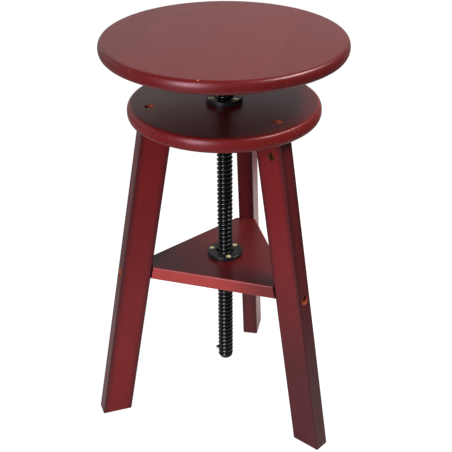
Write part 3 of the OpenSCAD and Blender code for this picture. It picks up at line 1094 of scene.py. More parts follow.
def read(items: bpy.types.bpy_prop_collection, name: str, kind: type, width: int) -> np.ndarray:
    """One property of every point, corner or face of a mesh.

    Args:
        items: The mesh's points, corners or faces.
        name: The property's name.
        kind: The property's own type of number.
        width: How many numbers it has.

    Returns:
        The numbers, a row to each item.
    """
    flat = np.zeros(len(items) * width, kind)
    items.foreach_get(name, flat)
    return flat.reshape(-1, width)


def places_of(mesh: bpy.types.Mesh) -> np.ndarray:
    """The mesh's points as an array."""
    return read(mesh.vertices, "co", np.float32, 3).astype(float)


@dataclass
class Piece:
    """One finished piece of the stool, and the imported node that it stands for."""

    name: str
    node: str
    body: Body
    slot: Slot
    finish: Finish
    blank: Skin
    tools: list[Skin] = field(default_factory=list)
    shared: Skin | None = None
    bores: list[Bore] = field(default_factory=list)
    board: Places | None = None
    patches: list[tuple[Finish, Places]] = field(default_factory=list)
    crease: float = 35.0
    flat_weight: int = 80

    def build(self) -> None:
        """Cuts, shades and dresses the piece, and puts it on its body."""
        made = new_object(self.name, self.blank.mesh(self.name))
        if self.shared:
            carve(made, self.shared, "INTERSECT")
        for tool in self.tools:
            carve(made, tool)
        if self.bores:
            carve(made, Skin.joined([bore.skin() for bore in self.bores]))
        self.shade(made)
        self.dress(made.data)
        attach(made, self.body.value)
        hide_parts(self.node)
        LOG.info("%s: %d faces for %s", self.name, len(made.data.polygons), self.node)

    def shade(self, made: bpy.types.Object) -> None:
        """Shades the piece smooth up to its creases, with the flats kept flat.

        Args:
            made: The piece's object.
        """
        mesh = made.data
        mesh.polygons.foreach_set("use_smooth", np.ones(len(mesh.polygons), bool))
        mesh.set_sharp_from_angle(angle=math.radians(self.crease))
        weigh = made.modifiers.new("flats", "WEIGHTED_NORMAL")
        weigh.keep_sharp = True
        weigh.weight = self.flat_weight
        flatten(made)

    def dress(self, mesh: bpy.types.Mesh) -> None:
        """Gives the mesh its finishes and its place on the board.

        A face is raw wood where all its corners lie in one hole, and each patch has the faces
        whose middles its mask takes.

        Args:
            mesh: The piece's mesh.
        """
        mesh.materials.clear()
        mesh.materials.append(self.finish.material())
        chosen = np.zeros(len(mesh.polygons), np.int32)
        for finish, mask in self.patches:
            middles = read(mesh.polygons, "center", np.float32, 3).astype(float)
            chosen[mask(middles)] = len(mesh.materials)
            mesh.materials.append(finish.material())
        places = places_of(mesh)
        if self.bores:
            corners = read(mesh.loops, "vertex_index", np.int32, 1)[:, 0]
            starts = read(mesh.polygons, "loop_start", np.int32, 1)[:, 0]
            for bore in self.bores:
                inside = np.logical_and.reduceat(bore.holds(places)[corners], starts)
                chosen[inside] = len(mesh.materials)
            mesh.materials.append(RAW.material())
        mesh.polygons.foreach_set("material_index", chosen)
        if self.board:
            carried = mesh.attributes.new("board", "FLOAT_VECTOR", "POINT")
            carried.data.foreach_set("vector", self.board(places).astype(np.float32).ravel())


def set_of(piece: Piece, cuts: Sequence[Skin], spots: Spots) -> Piece:
    """The piece as a set: its blank and what is cut from it, copied to every spot."""
    return replace(piece, blank=piece.blank.copies(spots), tools=[cut.copies(spots) for cut in cuts])


def span(node: str) -> tuple[list[float], list[float]]:
    """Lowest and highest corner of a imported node."""
    low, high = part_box(node)
    return [float(part) for part in low], [float(part) for part in high]


def on_board(grain_azimuth: float, middle: float) -> Places:
    """What finds places along, across and through a level board.

    Args:
        grain_azimuth: Azimuth of its grain.
        middle: Height of its middle.

    Returns:
        The function that turns places of the stool into places on the board.
    """
    along, across = polar(1, grain_azimuth), polar(1, grain_azimuth + 90)

    def carried(places: np.ndarray) -> np.ndarray:
        """Places along, across and through the board."""
        return np.stack([places @ along, places @ across, places[:, 2] - middle], axis=1)

    return carried


def round_shape(node: str, stain: StainedWood, rim: float, grain_azimuth: float) -> Shape:
    """Finish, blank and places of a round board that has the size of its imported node.

    Args:
        node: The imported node.
        stain: Its stain.
        rim: How far its rounded rim reaches in.
        grain_azimuth: Azimuth of its grain.

    Returns:
        The piece's fields of those names.
    """
    low, high = span(node)
    return {
        "finish": replace(stain, reach=high[0], half_thick=(high[2] - low[2]) / 2),
        "blank": round_board(high[0], low[2], high[2], rim),
        "board": on_board(grain_azimuth, (low[2] + high[2]) / 2),
    }


@dataclass(frozen=True)
class Fastenings:
    """Sizes of the bolts, barrel nuts and wood screws, and the parts made of them.

    An ease is the radius of a rounded edge. The cross recess has three rings, each with a scale
    of its outline: its floor, one at a share of its depth and one over the head.
    """

    bolt_r: float = 3 * MM
    bolt_hole_r: float = 3.25 * MM
    bolt_head_r: float = 5.5 * MM
    bolt_head_h: float = 3.5 * MM
    bolt_ease: float = 0.6 * MM
    bolt_seat_ease: float = 0.2 * MM
    hexagon: float = 4 * MM
    hexagon_deep: float = 2 * MM
    counterbore_r: float = 7 * MM
    washer_t: float = 1.2 * MM
    pin_hole_r: float = 4.1 * MM
    barrel_r: float = 6 * MM
    barrel_hole_r: float = 6.1 * MM
    barrel_ease: float = 0.7 * MM
    barrel_end_ease: float = 0.4 * MM
    slot_w: float = 1.4 * MM
    slot_deep: float = 1.2 * MM
    screw_head_r: float = 4 * MM
    screw_head_edge: float = 0.25 * MM
    screw_r: float = 1.9 * MM
    screw_l: float = 20 * MM
    dome: float = 0.8 * MM
    dome_points: int = 9
    cross_w: float = 1.0 * MM
    cross_l: float = 4.2 * MM
    cross_deep: float = 1.7 * MM
    cross_ease: float = 0.2 * MM
    cross_inner_ease: float = 0.25 * MM
    cross_mid: float = 0.6
    cross_over: float = 1 * MM
    cross_scales: Colour = (0.3, 0.72, 1.1)

    def bolt(self, length: float) -> tuple[Skin, Skin]:
        """A bolt that points down, with its head's seat at z = 0.

        Args:
            length: Length under the head.

        Returns:
            The bolt, and its hexagon recess.
        """
        top, head = self.bolt_head_h, self.bolt_head_r
        corners = [(0, top, 0), (head, top, self.bolt_ease), (head, 0, self.bolt_seat_ease)]
        corners += [(self.bolt_r, 0, 0), (self.bolt_r, -length, self.bolt_ease), (0, -length, 0)]
        angle = np.arange(6) * math.pi / 3
        corner_r = self.hexagon / 2 / math.cos(math.pi / 6)
        outline = np.stack([np.cos(angle), np.sin(angle)], axis=1) * corner_r
        recess = prism(outline, [top - self.hexagon_deep, top + OVERRUN], [1, 1])
        return spun(corners, PIN_SIDES), recess

    def barrel(self, length: float, thread_up: float) -> tuple[Skin, list[Skin]]:
        """A barrel nut up from its slotted face at z = 0.

        Args:
            length: The nut's length.
            thread_up: Height of its cross hole.

        Returns:
            The nut, and its slot and cross hole.
        """
        r = self.barrel_r
        corners = [(0, 0, 0), (r, 0, self.barrel_ease), (r, length, self.barrel_end_ease)]
        half = self.slot_w / 2
        outline = np.array([(-2 * r, -half), (2 * r, -half), (2 * r, half), (-2 * r, half)])
        slot = prism(outline, [-OVERRUN, self.slot_deep], [1, 1])
        hole = cylinder(self.bolt_r, -2 * r, 2 * r, PIN_SIDES)
        cross = hole.placed((0, 0, thread_up), basis((1, 0, 0)))
        return spun([*corners, (0, length, 0)], SCREW_SIDES), [slot, cross]

    def screw_parts(self, length: float) -> tuple[Skin, Skin]:
        """A countersunk screw that points down, with its head's rim at z = 0.

        The dome is the arc of a circle whose radius is (head^2 + dome^2) / (2 dome).

        Args:
            length: Length under the rim.

        Returns:
            The screw, and its cross recess.
        """
        head, shank = self.screw_head_r, self.screw_r
        ball = (head**2 + self.dome**2) / (2 * self.dome)
        out = np.linspace(0, 1, self.dome_points) * head
        dome = np.stack([out, np.sqrt(ball**2 - out**2) - ball + self.dome], axis=1)
        rest = eased([(head, 0, 0), (head, -self.screw_head_edge, 0), (shank, shank - head, 0),
                      (shank, 2 * shank - length, 0), (0, -length, 0)])
        arm, half = self.cross_l / 2, self.cross_w / 2
        quarter = [(arm, -half, self.cross_ease), (arm, half, self.cross_ease)]
        quarter += [(half, half, self.cross_inner_ease)]
        turns = [(c * a - s * b, s * a + c * b, r) for c, s in ((1, 0), (0, 1), (-1, 0), (0, -1))
                 for a, b, r in quarter]
        depths = (self.cross_deep, self.cross_deep * self.cross_mid, -self.cross_over)
        heights = [self.dome - depth for depth in depths]
        recess = prism(eased(turns, closed=True, steps=3), heights, self.cross_scales)
        return turned(np.concatenate([dome, rest[1:]]), SCREW_SIDES), recess

    def screw_seat(self, depth: float) -> Skin:
        """Countersink and hole for a screw, with the head's rim at z = 0.

        Args:
            depth: Depth of the hole.

        Returns:
            What is cut away.
        """
        head, shank = self.screw_head_r + SNUG, self.screw_r + SNUG
        corners = [(0, -depth, 0), (shank, -depth, 0), (shank, shank - head, 0)]
        corners += [(head, 0, 0), (head, OVERRUN, 0), (0, OVERRUN, 0)]
        return spun(corners, SCREW_SIDES)


FIT = Fastenings()


@dataclass(frozen=True)
class LegAxes:
    """A leg's own axes: x away from the screw, y along its thickness, z up."""

    azimuth: float
    shift: float

    def turn(self) -> np.ndarray:
        """Matrix whose columns are the leg's own axes."""
        out = polar(1, self.azimuth)
        return np.stack([out, np.array([-out[1], out[0], 0]), np.array([0, 0, 1.0])], axis=1)

    def world(self, points: Sequence[float] | np.ndarray) -> np.ndarray:
        """Places given on the leg's own axes, in the frame of the whole stool."""
        own = np.atleast_2d(np.array(points, float)) - [0, self.shift, 0]
        return own @ self.turn().T

    def own(self, places: np.ndarray) -> np.ndarray:
        """Places of the whole stool's frame, on the leg's own axes."""
        return places @ self.turn() + [0, self.shift, 0]

    def bore(self, mouth: Sequence[float], out: Sequence[float], *sizes: float) -> Bore:
        """A bore whose mouth and direction are given on the leg's own axes."""
        return Bore(self.world(mouth)[0], self.turn() @ np.array(out, float), *sizes)


@dataclass
class Plan:
    """Places that several sub-assemblies share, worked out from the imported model."""

    splay: float = 10.0
    leg_width: float = 46 * MM
    bolt_in: float = 32 * MM
    pin_pitch: float = 19 * MM
    barrel_drop: float = 26.5 * MM

    def __post_init__(self) -> None:
        """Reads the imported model's boxes."""
        low, high = span("leg_back")
        self.thick = high[0] - low[0]
        self.lean = math.tan(math.radians(self.splay))
        self.deep = self.leg_width / math.cos(math.radians(self.splay))
        self.foot_r = high[1] - self.deep
        self.leg_top = high[2]
        self.bolt_circle = self.inner_r(self.leg_top) + self.bolt_in
        self.barrel_z = self.leg_top - self.barrel_drop
        self.shelf_low, self.shelf_high = (corner[2] for corner in span("shelf"))
        self.shelf_mid = (self.shelf_low + self.shelf_high) / 2
        self.shelf_outer = self.inner_r(self.shelf_mid) + self.deep
        self.axes = {name: LegAxes(turn, self.thick / 2) for name, turn in LEG_AZIMUTHS.items()}

    def inner_r(self, height: float) -> float:
        """Distance of a leg's inner face from the screw's axis at a height."""
        return self.foot_r - height * self.lean


@dataclass
class Seat:
    """The seat board, its steel plate and the plate's screws."""

    rim: float = 7 * MM
    grain_azimuth: float = 87.0
    # Where the small orange spot lies on the seat's rim
    orange_spot_azimuth: float = -89.6
    orange_spot_in: float = 5 * MM
    orange_spot_down: float = 0.3 * MM
    plate_ease: float = 0.8 * MM
    plate_screws: int = 4
    plate_screw_r: float = 38 * MM
    plate_screw_l: float = 18 * MM
    plate_hole_l: float = 8 * MM
    screw_turn: Colour = (1, 0.3, 0)
    collar_r: float = 17 * MM
    collar_h: float = 3 * MM
    collar_ease: float = 0.6 * MM

    def board(self) -> Piece:
        """The round seat, with its grain and staves across it.

        Returns:
            The seat board.
        """
        _, high = span("seat")
        orange_spot = polar(high[0] - self.orange_spot_in, self.orange_spot_azimuth, high[2] - self.orange_spot_down)
        stain = replace(SEAT_STAIN, orange_spot=tuple(orange_spot.tolist()))
        shape = round_shape("seat", stain, self.rim, self.grain_azimuth)
        return Piece("seat_board", "seat", Body.SEAT, Slot.SEAT, **shape)

    def plate(self) -> Piece:
        """The plate under the seat, whose collar holds the screw.

        Returns:
            The plate.
        """
        (_, _, low), (radius, _, high) = span("seat_plate")
        under = low + self.collar_h
        corners = [(0, high, 0), (radius, high, 0), (radius, under, self.plate_ease)]
        corners += [(self.collar_r, under, self.plate_ease), (self.collar_r, low, self.collar_ease)]
        _, (rod_r, _, rod_top) = span("threaded_rod")
        socket = cylinder(rod_r + SNUG, low - OVERRUN, rod_top, BORE_SIDES)
        spots = [(place, basis((0, 0, -1))) for place in self.screws()]
        tools = [socket, FIT.screw_seat(self.plate_hole_l).copies(spots)]
        return Piece("mounting_plate", "seat_plate", Body.SEAT, Slot.PLATE, FLANGE_BLACK,
                     spun([*corners, (0, low, 0)], FLANGE_SIDES), tools)

    def screws(self) -> list[np.ndarray]:
        """Finds the plate's screws.

        Returns:
            Their places, on the plate's lower face.
        """
        under = span("seat_plate")[0][2] + self.collar_h
        step = 360 / self.plate_screws
        return [polar(self.plate_screw_r, step * (i + 0.5), under) for i in range(self.plate_screws)]

    def screw_set(self) -> Piece:
        """The plate's screws, heads down.

        Returns:
            The set.
        """
        blank, cross = FIT.screw_parts(self.plate_screw_l)
        spots = [(place, basis((0, 0, -1), self.screw_turn)) for place in self.screws()]
        one = Piece("plate_screw_set", "seat_plate_screws", Body.SEAT, Slot.ZINC, ZINC, blank)
        return set_of(one, [cross], spots)

    def pieces(self) -> list[Piece]:
        """All pieces of the seat."""
        return [self.board(), self.plate(), self.screw_set()]


@dataclass
class Screw:
    """The long threaded rod and its stop pin."""

    tip_l: float = 4 * MM
    tip_share: float = 0.72
    tip_ease: float = 0.8 * MM
    shoulder_ease: float = 1.5 * MM
    spare: float = 1 * MM
    crease: float = 50.0
    pin_azimuth: float = 196.0
    pin_up: float = 18 * MM
    pin_r: float = 2.5 * MM
    pin_out: float = 3.4 * MM
    pin_dome: float = 1.3 * MM

    def rod(self) -> Piece:
        """The rod: a helical thread, cut to a cone at its lower end.

        Returns:
            The rod.
        """
        (_, _, low), (crest, _, high) = span("threaded_rod")
        over = crest + self.spare
        foot = [(0, low, 0), (crest * self.tip_share, low, self.tip_ease)]
        foot += [(crest, low + self.tip_l, self.shoulder_ease), (over, low + 3 * self.tip_l, 0)]
        ends = spun([*foot, (over, high, 0), (0, high, 0)], SCREW_SIDES)
        return Piece("screw_rod", "threaded_rod", Body.SEAT, Slot.SCREW, ROD_BLACK,
                     Thread(crest=crest).skin(low, high), shared=ends, crease=self.crease)

    def pin(self) -> Piece:
        """The stop pin, with a domed end.

        Returns:
            The pin.
        """
        (_, _, low), (crest, _, _) = span("threaded_rod")
        length = crest + self.pin_out
        corners = [(0, 0, 0), (self.pin_r, 0, 0), (self.pin_r, length, self.pin_dome), (0, length, 0)]
        skin = spun(corners, PIN_SIDES)
        skin = skin.placed((0, 0, low + self.pin_up), basis(polar(1, self.pin_azimuth)))
        return Piece("rod_stop_pin", "stop_pin", Body.SEAT, Slot.SCREW, ROD_BLACK, skin)

    def pieces(self) -> list[Piece]:
        """All pieces of the screw."""
        return [self.rod(), self.pin()]


@dataclass
class Flange:
    """A black flange with its hub, and the three brass screws that hold it.

    An ease is the radius of a rounded edge, and each screw has the turn of its cross recess.
    """

    name: str
    node: str
    screw_node: str
    first_screw: float
    screw_turns: Sequence[float]
    hub_r: float = 17.5 * MM
    hub_ease: float = 0.6 * MM
    thick: float = 6.5 * MM
    rim_ease: float = 1.0 * MM
    under_ease: float = 0.4 * MM
    mouth_r: float = 13.4 * MM
    mouth_ease: float = 0.7 * MM
    mouth_points: int = 6
    screw_circle: float = 21 * MM

    def __post_init__(self) -> None:
        """Reads the flange's box."""
        (_, _, self.low), (self.radius, _, self.high) = span(self.node)

    def mouth(self, bottom: float) -> Skin:
        """What is cut for the mouth, whose edge is eased.

        Args:
            bottom: Height of its lower end.

        Returns:
            What is cut away.
        """
        top, lip = self.high, self.mouth_ease
        wide = self.mouth_r + lip
        turn = np.linspace(0, math.pi / 2, self.mouth_points)
        flare = np.stack([wide - lip * np.cos(turn), top - lip + lip * np.sin(turn)], axis=1)
        ends = [(0, bottom), (self.mouth_r, bottom)], [(wide, top + OVERRUN), (0, top + OVERRUN)]
        return turned(np.concatenate([ends[0], flare, ends[1]]), BORE_SIDES)

    def centre(self, low: float, high: float) -> Skin:
        """Hole for the hub through a board between two heights."""
        return cylinder(self.hub_r + SNUG, low - OVERRUN, high + OVERRUN, BORE_SIDES)

    def places(self) -> list[np.ndarray]:
        """Places of the screws' heads."""
        turns = [self.first_screw + 360 / len(self.screw_turns) * i for i in range(len(self.screw_turns))]
        return [polar(self.screw_circle, turn, self.high) for turn in turns]

    def piece(self, tools: list[Skin]) -> Piece:
        """Flange and hub as one turned solid, with the screws' seats.

        Args:
            tools: What else is cut from it.

        Returns:
            The flange.
        """
        seat = self.high - self.thick
        corners = [(0, self.high, 0), (self.radius, self.high, self.rim_ease)]
        corners += [(self.radius, seat, self.under_ease), (self.hub_r, seat, 0)]
        corners += [(self.hub_r, self.low, self.hub_ease), (0, self.low, 0)]
        seats = FIT.screw_seat(2 * self.thick).copies([(place,) for place in self.places()])
        return Piece(self.name, self.node, Body.FRAME, Slot.FLANGE, FLANGE_BLACK,
                     spun(corners, FLANGE_SIDES), [*tools, seats])

    def screw_set(self) -> Piece:
        """The screws, each turned as it was driven.

        Returns:
            The set.
        """
        blank, cross = FIT.screw_parts(FIT.screw_l)
        driven = zip(self.places(), self.screw_turns)
        spots = [(place, basis((0, 0, 1), polar(1, turn))) for place, turn in driven]
        name = self.name + "_screws"
        one = Piece(name, self.screw_node, Body.FRAME, Slot.BRASS, BRASS, blank)
        return set_of(one, [cross], spots)


@dataclass
class TopDisc:
    """The round board on the legs, its nut, its screws and the leg bolts."""

    plan: Plan
    rim: float = 7 * MM
    grain_azimuth: float = 20.0
    first_screw: float = 94.5
    screw_turns: Sequence[float] = (20, 65, 5)
    counterbore: float = 8 * MM
    thread_gap: float = 0.45 * MM
    mouth_deep: float = 3 * MM
    bolt_past: float = 9 * MM
    pin_up: float = 12 * MM

    def __post_init__(self) -> None:
        """Reads the disc's box and lays out its flange."""
        self.low, self.high = (corner[2] for corner in span("top_disc"))
        self.flange = Flange("disc_nut", "disc_flange_nut", "disc_flange_screws",
                             self.first_screw, self.screw_turns)

    def spots(self, height: float) -> Spots:
        """Places on the bolts' axes at a height."""
        return [(axes.world((self.plan.bolt_circle, 0, height))[0],) for axes in self.plan.axes.values()]

    def bores(self) -> list[Bore]:
        """Counterbores of the bolts, and the pins' holes from below.

        Returns:
            The bores.
        """
        bolt, pin = self.plan.bolt_circle, self.plan.bolt_circle - self.plan.pin_pitch
        found = []
        for axes in self.plan.axes.values():
            mouth, under = (bolt, 0, self.high), (pin, 0, self.low)
            found.append(axes.bore(mouth, (0, 0, 1), FIT.counterbore_r, self.counterbore))
            found.append(axes.bore(under, (0, 0, -1), FIT.pin_hole_r, self.pin_up, 0.0))
        return found

    def board(self) -> Piece:
        """The disc itself.

        Returns:
            The disc.
        """
        shaft = cylinder(FIT.bolt_hole_r, self.low - OVERRUN, self.high + OVERRUN, PIN_SIDES)
        tools = [self.flange.centre(self.low, self.high), shaft.copies(self.spots(0))]
        shape = round_shape("top_disc", DISC_STAIN, self.rim, self.grain_azimuth)
        return Piece("disc_board", "top_disc", Body.FRAME, Slot.DISC, tools=tools,
                     bores=self.bores(), **shape)

    def nut(self) -> Piece:
        """The flange with the thread that the rod turns in.

        Returns:
            The flange.
        """
        low, high = self.flange.low, self.flange.high
        thread = Thread(crest=span("threaded_rod")[1][0]).skin(low, high, self.thread_gap)
        return self.flange.piece([thread, self.flange.mouth(high - self.mouth_deep)])

    def bolts(self) -> Piece:
        """The three bolts that go down into the legs' barrel nuts.

        Returns:
            The set.
        """
        seat = self.high - self.counterbore + FIT.washer_t
        blank, hexagon = FIT.bolt(seat - self.plan.barrel_z + self.bolt_past)
        one = Piece("leg_bolt_set", "leg_bolts", Body.FRAME, Slot.ZINC, ZINC, blank)
        return set_of(one, [hexagon], self.spots(seat))

    def pieces(self) -> list[Piece]:
        """All pieces of the disc."""
        return [self.board(), self.nut(), self.flange.screw_set(), self.bolts()]


@dataclass
class Legs:
    """The three leg boards and the barrel nuts in their side faces.

    Each leg has the place where its grain starts, and how much darker it gets towards its foot.
    """

    plan: Plan
    grain_starts: Colour = (5.0, 17.0, 29.0)
    foot_darkening: Colour = (0.0, 0.0, 0.72)
    edge_r: float = 1.5 * MM
    edge_steps: int = 6
    end_ease: float = 0.7 * MM
    counterbore: float = 10 * MM
    barrel_l: float = 20 * MM
    pin_down: float = 18.1 * MM
    bolt_past: float = 9.5 * MM
    shelf_hole_l: float = 80 * MM
    slant_proud: float = 6 * MM

    def skin(self, axes: LegAxes) -> Skin:
        """A leaning board, cut level at both ends.

        At each height the ring is the eased rectangle of the board, stretched by 1 / cos(splay)
        away from the screw and moved in by the height times tan(splay). The first and the last
        ring are drawn in a little, which eases the ends.

        Args:
            axes: The leg's own axes.

        Returns:
            The surface.
        """
        wide, half, r = self.plan.leg_width, self.plan.thick / 2, self.edge_r
        loop = [(0, -half, r), (wide, -half, r), (wide, half, r), (0, half, r)]
        loop = eased(loop, closed=True, steps=self.edge_steps)
        height = np.array([0, self.end_ease, self.plan.leg_top - self.end_ease, self.plan.leg_top])
        inset = np.array([self.end_ease, 0, 0, self.end_ease])
        share = 1 - 2 * inset[:, None] / np.array([[wide, 2 * half]])
        centred = (loop - [wide / 2, 0])[None] * share[:, None] + [wide / 2, 0]
        out = centred[..., 0] / math.cos(math.radians(self.plan.splay))
        out = out + self.plan.foot_r - height[:, None] * self.plan.lean
        up = np.broadcast_to(height[:, None], out.shape)
        rows = np.stack([out, centred[..., 1], up], axis=2)
        return lofted(axes.world(rows.reshape(-1, 3)).reshape(rows.shape))

    def bores(self, axes: LegAxes) -> list[Bore]:
        """The barrel nut's bore, the shelf bolt's counterbore and the pin's hole.

        Args:
            axes: The leg's own axes.

        Returns:
            The bores.
        """
        plan = self.plan
        side = (plan.bolt_circle, -plan.thick / 2, plan.barrel_z)
        outer = (plan.shelf_outer, 0, plan.shelf_mid)
        pin = (plan.bolt_circle - plan.pin_pitch, 0, plan.leg_top)
        return [
            axes.bore(side, (0, -1, 0), FIT.barrel_hole_r, self.barrel_l + SNUG),
            axes.bore(outer, (1, 0, 0), FIT.counterbore_r, self.counterbore, 0.0, self.slant_proud),
            axes.bore(pin, (0, 0, 1), FIT.pin_hole_r, self.pin_down, 0.0),
        ]

    def bolt_holes(self, axes: LegAxes) -> list[Skin]:
        """What is cut for the leg's bolt and for the shelf's bolt.

        Args:
            axes: The leg's own axes.

        Returns:
            The two cuts.
        """
        plan = self.plan
        top, deep = (plan.bolt_circle, 0, plan.leg_top), plan.barrel_drop + self.bolt_past
        down = axes.bore(top, (0, 0, 1), FIT.bolt_hole_r, deep, 0.0)
        outer = (plan.shelf_outer, 0, plan.shelf_mid)
        through = axes.bore(outer, (1, 0, 0), FIT.bolt_hole_r, self.shelf_hole_l, 0.0)
        return [down.skin(), through.skin()]

    def leg(self, name: str, grain_start: float, foot_darkening: float) -> Piece:
        """One leg.

        Args:
            name: Which leg it is.
            grain_start: Where its grain starts.
            foot_darkening: How much darker it gets towards its foot.

        Returns:
            The leg.
        """
        plan, axes = self.plan, self.plan.axes[name]
        splay = math.radians(plan.splay)
        lean = np.array([-math.sin(splay), 0, math.cos(splay)])
        out = np.array([math.cos(splay), 0, math.sin(splay)])
        start = np.array([plan.foot_r + plan.deep / 2, 0, 0])
        finish = replace(LEG_STAIN, name=f"leg_stain_wood_{name}", reach=plan.leg_width / 2,
                         half_thick=plan.thick / 2, seed=grain_start, foot_darkening=foot_darkening)

        def carried(places: np.ndarray) -> np.ndarray:
            """Places along the leg from the floor, across it and through it."""
            own = axes.own(places)
            return np.stack([(own - start) @ lean, (own - start) @ out, own[:, 1]], axis=1)

        return Piece(f"leg_board_{name}", f"leg_{name}", Body.FRAME, Slot.LEG, finish,
                     self.skin(axes), self.bolt_holes(axes), bores=self.bores(axes), board=carried)

    def barrels(self) -> Piece:
        """The barrel nuts, slotted faces flush with the legs' side faces.

        Returns:
            The set.
        """
        plan = self.plan
        blank, cuts = FIT.barrel(self.barrel_l, plan.thick / 2)
        mouth = (plan.bolt_circle, -plan.thick / 2, plan.barrel_z)
        spots = [(axes.world(mouth)[0], basis(axes.turn()[:, 1])) for axes in plan.axes.values()]
        one = Piece("leg_barrel_set", "leg_barrel_nuts", Body.FRAME, Slot.AGED_BRASS, AGED, blank)
        return set_of(one, cuts, spots)

    def pieces(self) -> list[Piece]:
        """All pieces of the legs."""
        legs = zip(self.plan.axes, self.grain_starts, self.foot_darkening)
        return [*(self.leg(*own) for own in legs), self.barrels()]


@dataclass
class Shelf:
    """The triangular shelf, its flange, its guide ring and its bolts."""

    plan: Plan
    first_screw: float = 55.0
    screw_turns: Sequence[float] = (50, 10, 75)
    side_r: float = 73.5 * MM
    edge_r: float = 2 * MM
    edge_points: int = 6
    cut_depth: float = 0.2 * MM
    barrel_inset: float = 28 * MM
    barrel_l: float = 15 * MM
    bolt_past: float = 9 * MM
    bolt_gap: float = 0.5 * MM
    slant_proud: float = 6 * MM
    counterbore: float = 10 * MM
    ring_gap: float = 0.3 * MM
    ring_clear: float = 0.4 * MM
    ring_ease: float = 0.5 * MM

    def __post_init__(self) -> None:
        """Works out the turn of the shelf's tips and lays out its flange."""
        plan = self.plan
        self.inner = plan.inner_r(plan.shelf_mid)
        self.turn = math.degrees(math.asin(plan.thick / 2 / self.inner))
        self.barrel_r = self.inner - self.barrel_inset
        self.flange = Flange("shelf_guide", "shelf_flange", "shelf_flange_screws",
                             self.first_screw, self.screw_turns)

    def ring(self, height: float, inset: float) -> np.ndarray:
        """Six corners of the shelf at a height, from where a long side meets a leg's face.

        A long side is the line at side_r - inset from the axis, and a leg's face is the line at
        inner_r(height) along its own azimuth, so each corner solves two plain line equations.

        Args:
            height: Height of the ring.
            inset: How far the long sides are drawn in there.

        Returns:
            The corners in order, as points.
        """
        corners = []
        for azimuth in LEG_AZIMUTHS.values():
            tip = azimuth - self.turn
            for side in (tip - 60, tip + 60):
                lines = np.array([polar(1, side)[:2], polar(1, azimuth)[:2]])
                reach = np.array([self.side_r - inset, self.plan.inner_r(height)])
                corners.append([*np.linalg.solve(lines, reach), height])
        return np.array(corners)

    def skin(self) -> Skin:
        """Rings from the lower to the upper face, drawn in over the eased edges.

        Returns:
            The surface.
        """
        turn = np.linspace(0, math.pi / 2, self.edge_points)
        drop, inset = self.edge_r * (1 - np.sin(turn)), self.edge_r * (1 - np.cos(turn))
        low = [(self.plan.shelf_low + d, i) for d, i in zip(drop[::-1], inset[::-1])]
        high = [(self.plan.shelf_high - d, i) for d, i in zip(drop, inset)]
        return lofted(np.stack([self.ring(height, edge) for height, edge in low + high]))

    def board(self) -> Piece:
        """The shelf itself, with its cut tips near-black.

        Returns:
            The shelf.
        """
        plan = self.plan
        finish = replace(SHELF_STAIN, reach=self.side_r,
                         half_thick=(plan.shelf_high - plan.shelf_low) / 2)
        grain_azimuth = LEG_AZIMUTHS["back"] - self.turn - 90

        def cut_tips(middles: np.ndarray) -> np.ndarray:
            """Which faces lie on the planes of the legs' inner faces."""
            out = np.max([axes.own(middles)[:, 0] for axes in plan.axes.values()], axis=0)
            return out > plan.inner_r(middles[:, 2]) - self.cut_depth

        deep = self.barrel_inset + self.bolt_past + self.bolt_gap
        barrel, bolt = (self.barrel_r, 0, plan.shelf_low), (self.inner, 0, plan.shelf_mid)
        bores = [axes.bore(barrel, (0, 0, -1), FIT.barrel_hole_r, self.barrel_l + SNUG)
                 for axes in plan.axes.values()]
        holes = [axes.bore(bolt, (1, 0, 0), FIT.bolt_hole_r, deep, 0.0, self.slant_proud).skin()
                 for axes in plan.axes.values()]
        centre = self.flange.centre(plan.shelf_low, plan.shelf_high)
        return Piece("shelf_board", "shelf", Body.FRAME, Slot.SHELF, finish, self.skin(),
                     [centre, Skin.joined(holes)], bores=bores,
                     board=on_board(grain_azimuth, plan.shelf_mid), patches=[(SHELF_END, cut_tips)])

    def guide(self) -> Piece:
        """The shelf's flange, with the pocket for the guide ring and the groove for its clip.

        Returns:
            The flange.
        """
        low, gap = self.flange.low, self.ring_gap
        _, (ring_r, _, ring_top) = span("guide_ring")
        (clip_left, _, clip_low), (clip_right, _, clip_top) = span("guide_ring_clip")
        pocket, groove = ring_r + gap, max(clip_right, -clip_left) + SNUG
        corners = [(0, low - OVERRUN, 0), (pocket, low - OVERRUN, 0), (pocket, clip_low - SNUG, 0)]
        corners += [(groove, clip_low - SNUG, 0), (groove, clip_top + SNUG, 0)]
        corners += [(pocket, clip_top + SNUG, 0), (pocket, ring_top + gap, 0), (0, ring_top + gap, 0)]
        return self.flange.piece([spun(corners, BORE_SIDES), self.flange.mouth(low + 2 * gap)])

    def guide_ring(self) -> Piece:
        """The nylon ring that the rod runs in.

        Returns:
            The ring.
        """
        (_, _, low), (outer, _, high) = span("guide_ring")
        inner, ease = span("threaded_rod")[1][0] + self.ring_clear, self.ring_ease
        corners = [(inner, low, ease), (outer, low, ease), (outer, high, ease), (inner, high, ease)]
        profile = eased(corners, closed=True, steps=3)
        faces = grid(len(profile), BORE_SIDES, around=True)
        skin = Skin(rings(profile, BORE_SIDES).reshape(-1, 3), faces).outward()
        return Piece("nylon_ring", "guide_ring", Body.GUIDE, Slot.NYLON, NYLON, skin)

    def bolts(self) -> Piece:
        """The bolts that come in through the legs.

        Returns:
            The set.
        """
        plan = self.plan
        seat = plan.shelf_outer - self.counterbore + FIT.washer_t
        blank, hexagon = FIT.bolt(seat - self.barrel_r + self.bolt_past)
        spots = [(axes.world((seat, 0, plan.shelf_mid))[0], basis(axes.turn()[:, 0]))
                 for axes in plan.axes.values()]
        one = Piece("shelf_bolt_set", "shelf_bolts", Body.FRAME, Slot.ZINC, ZINC, blank)
        return set_of(one, [hexagon], spots)

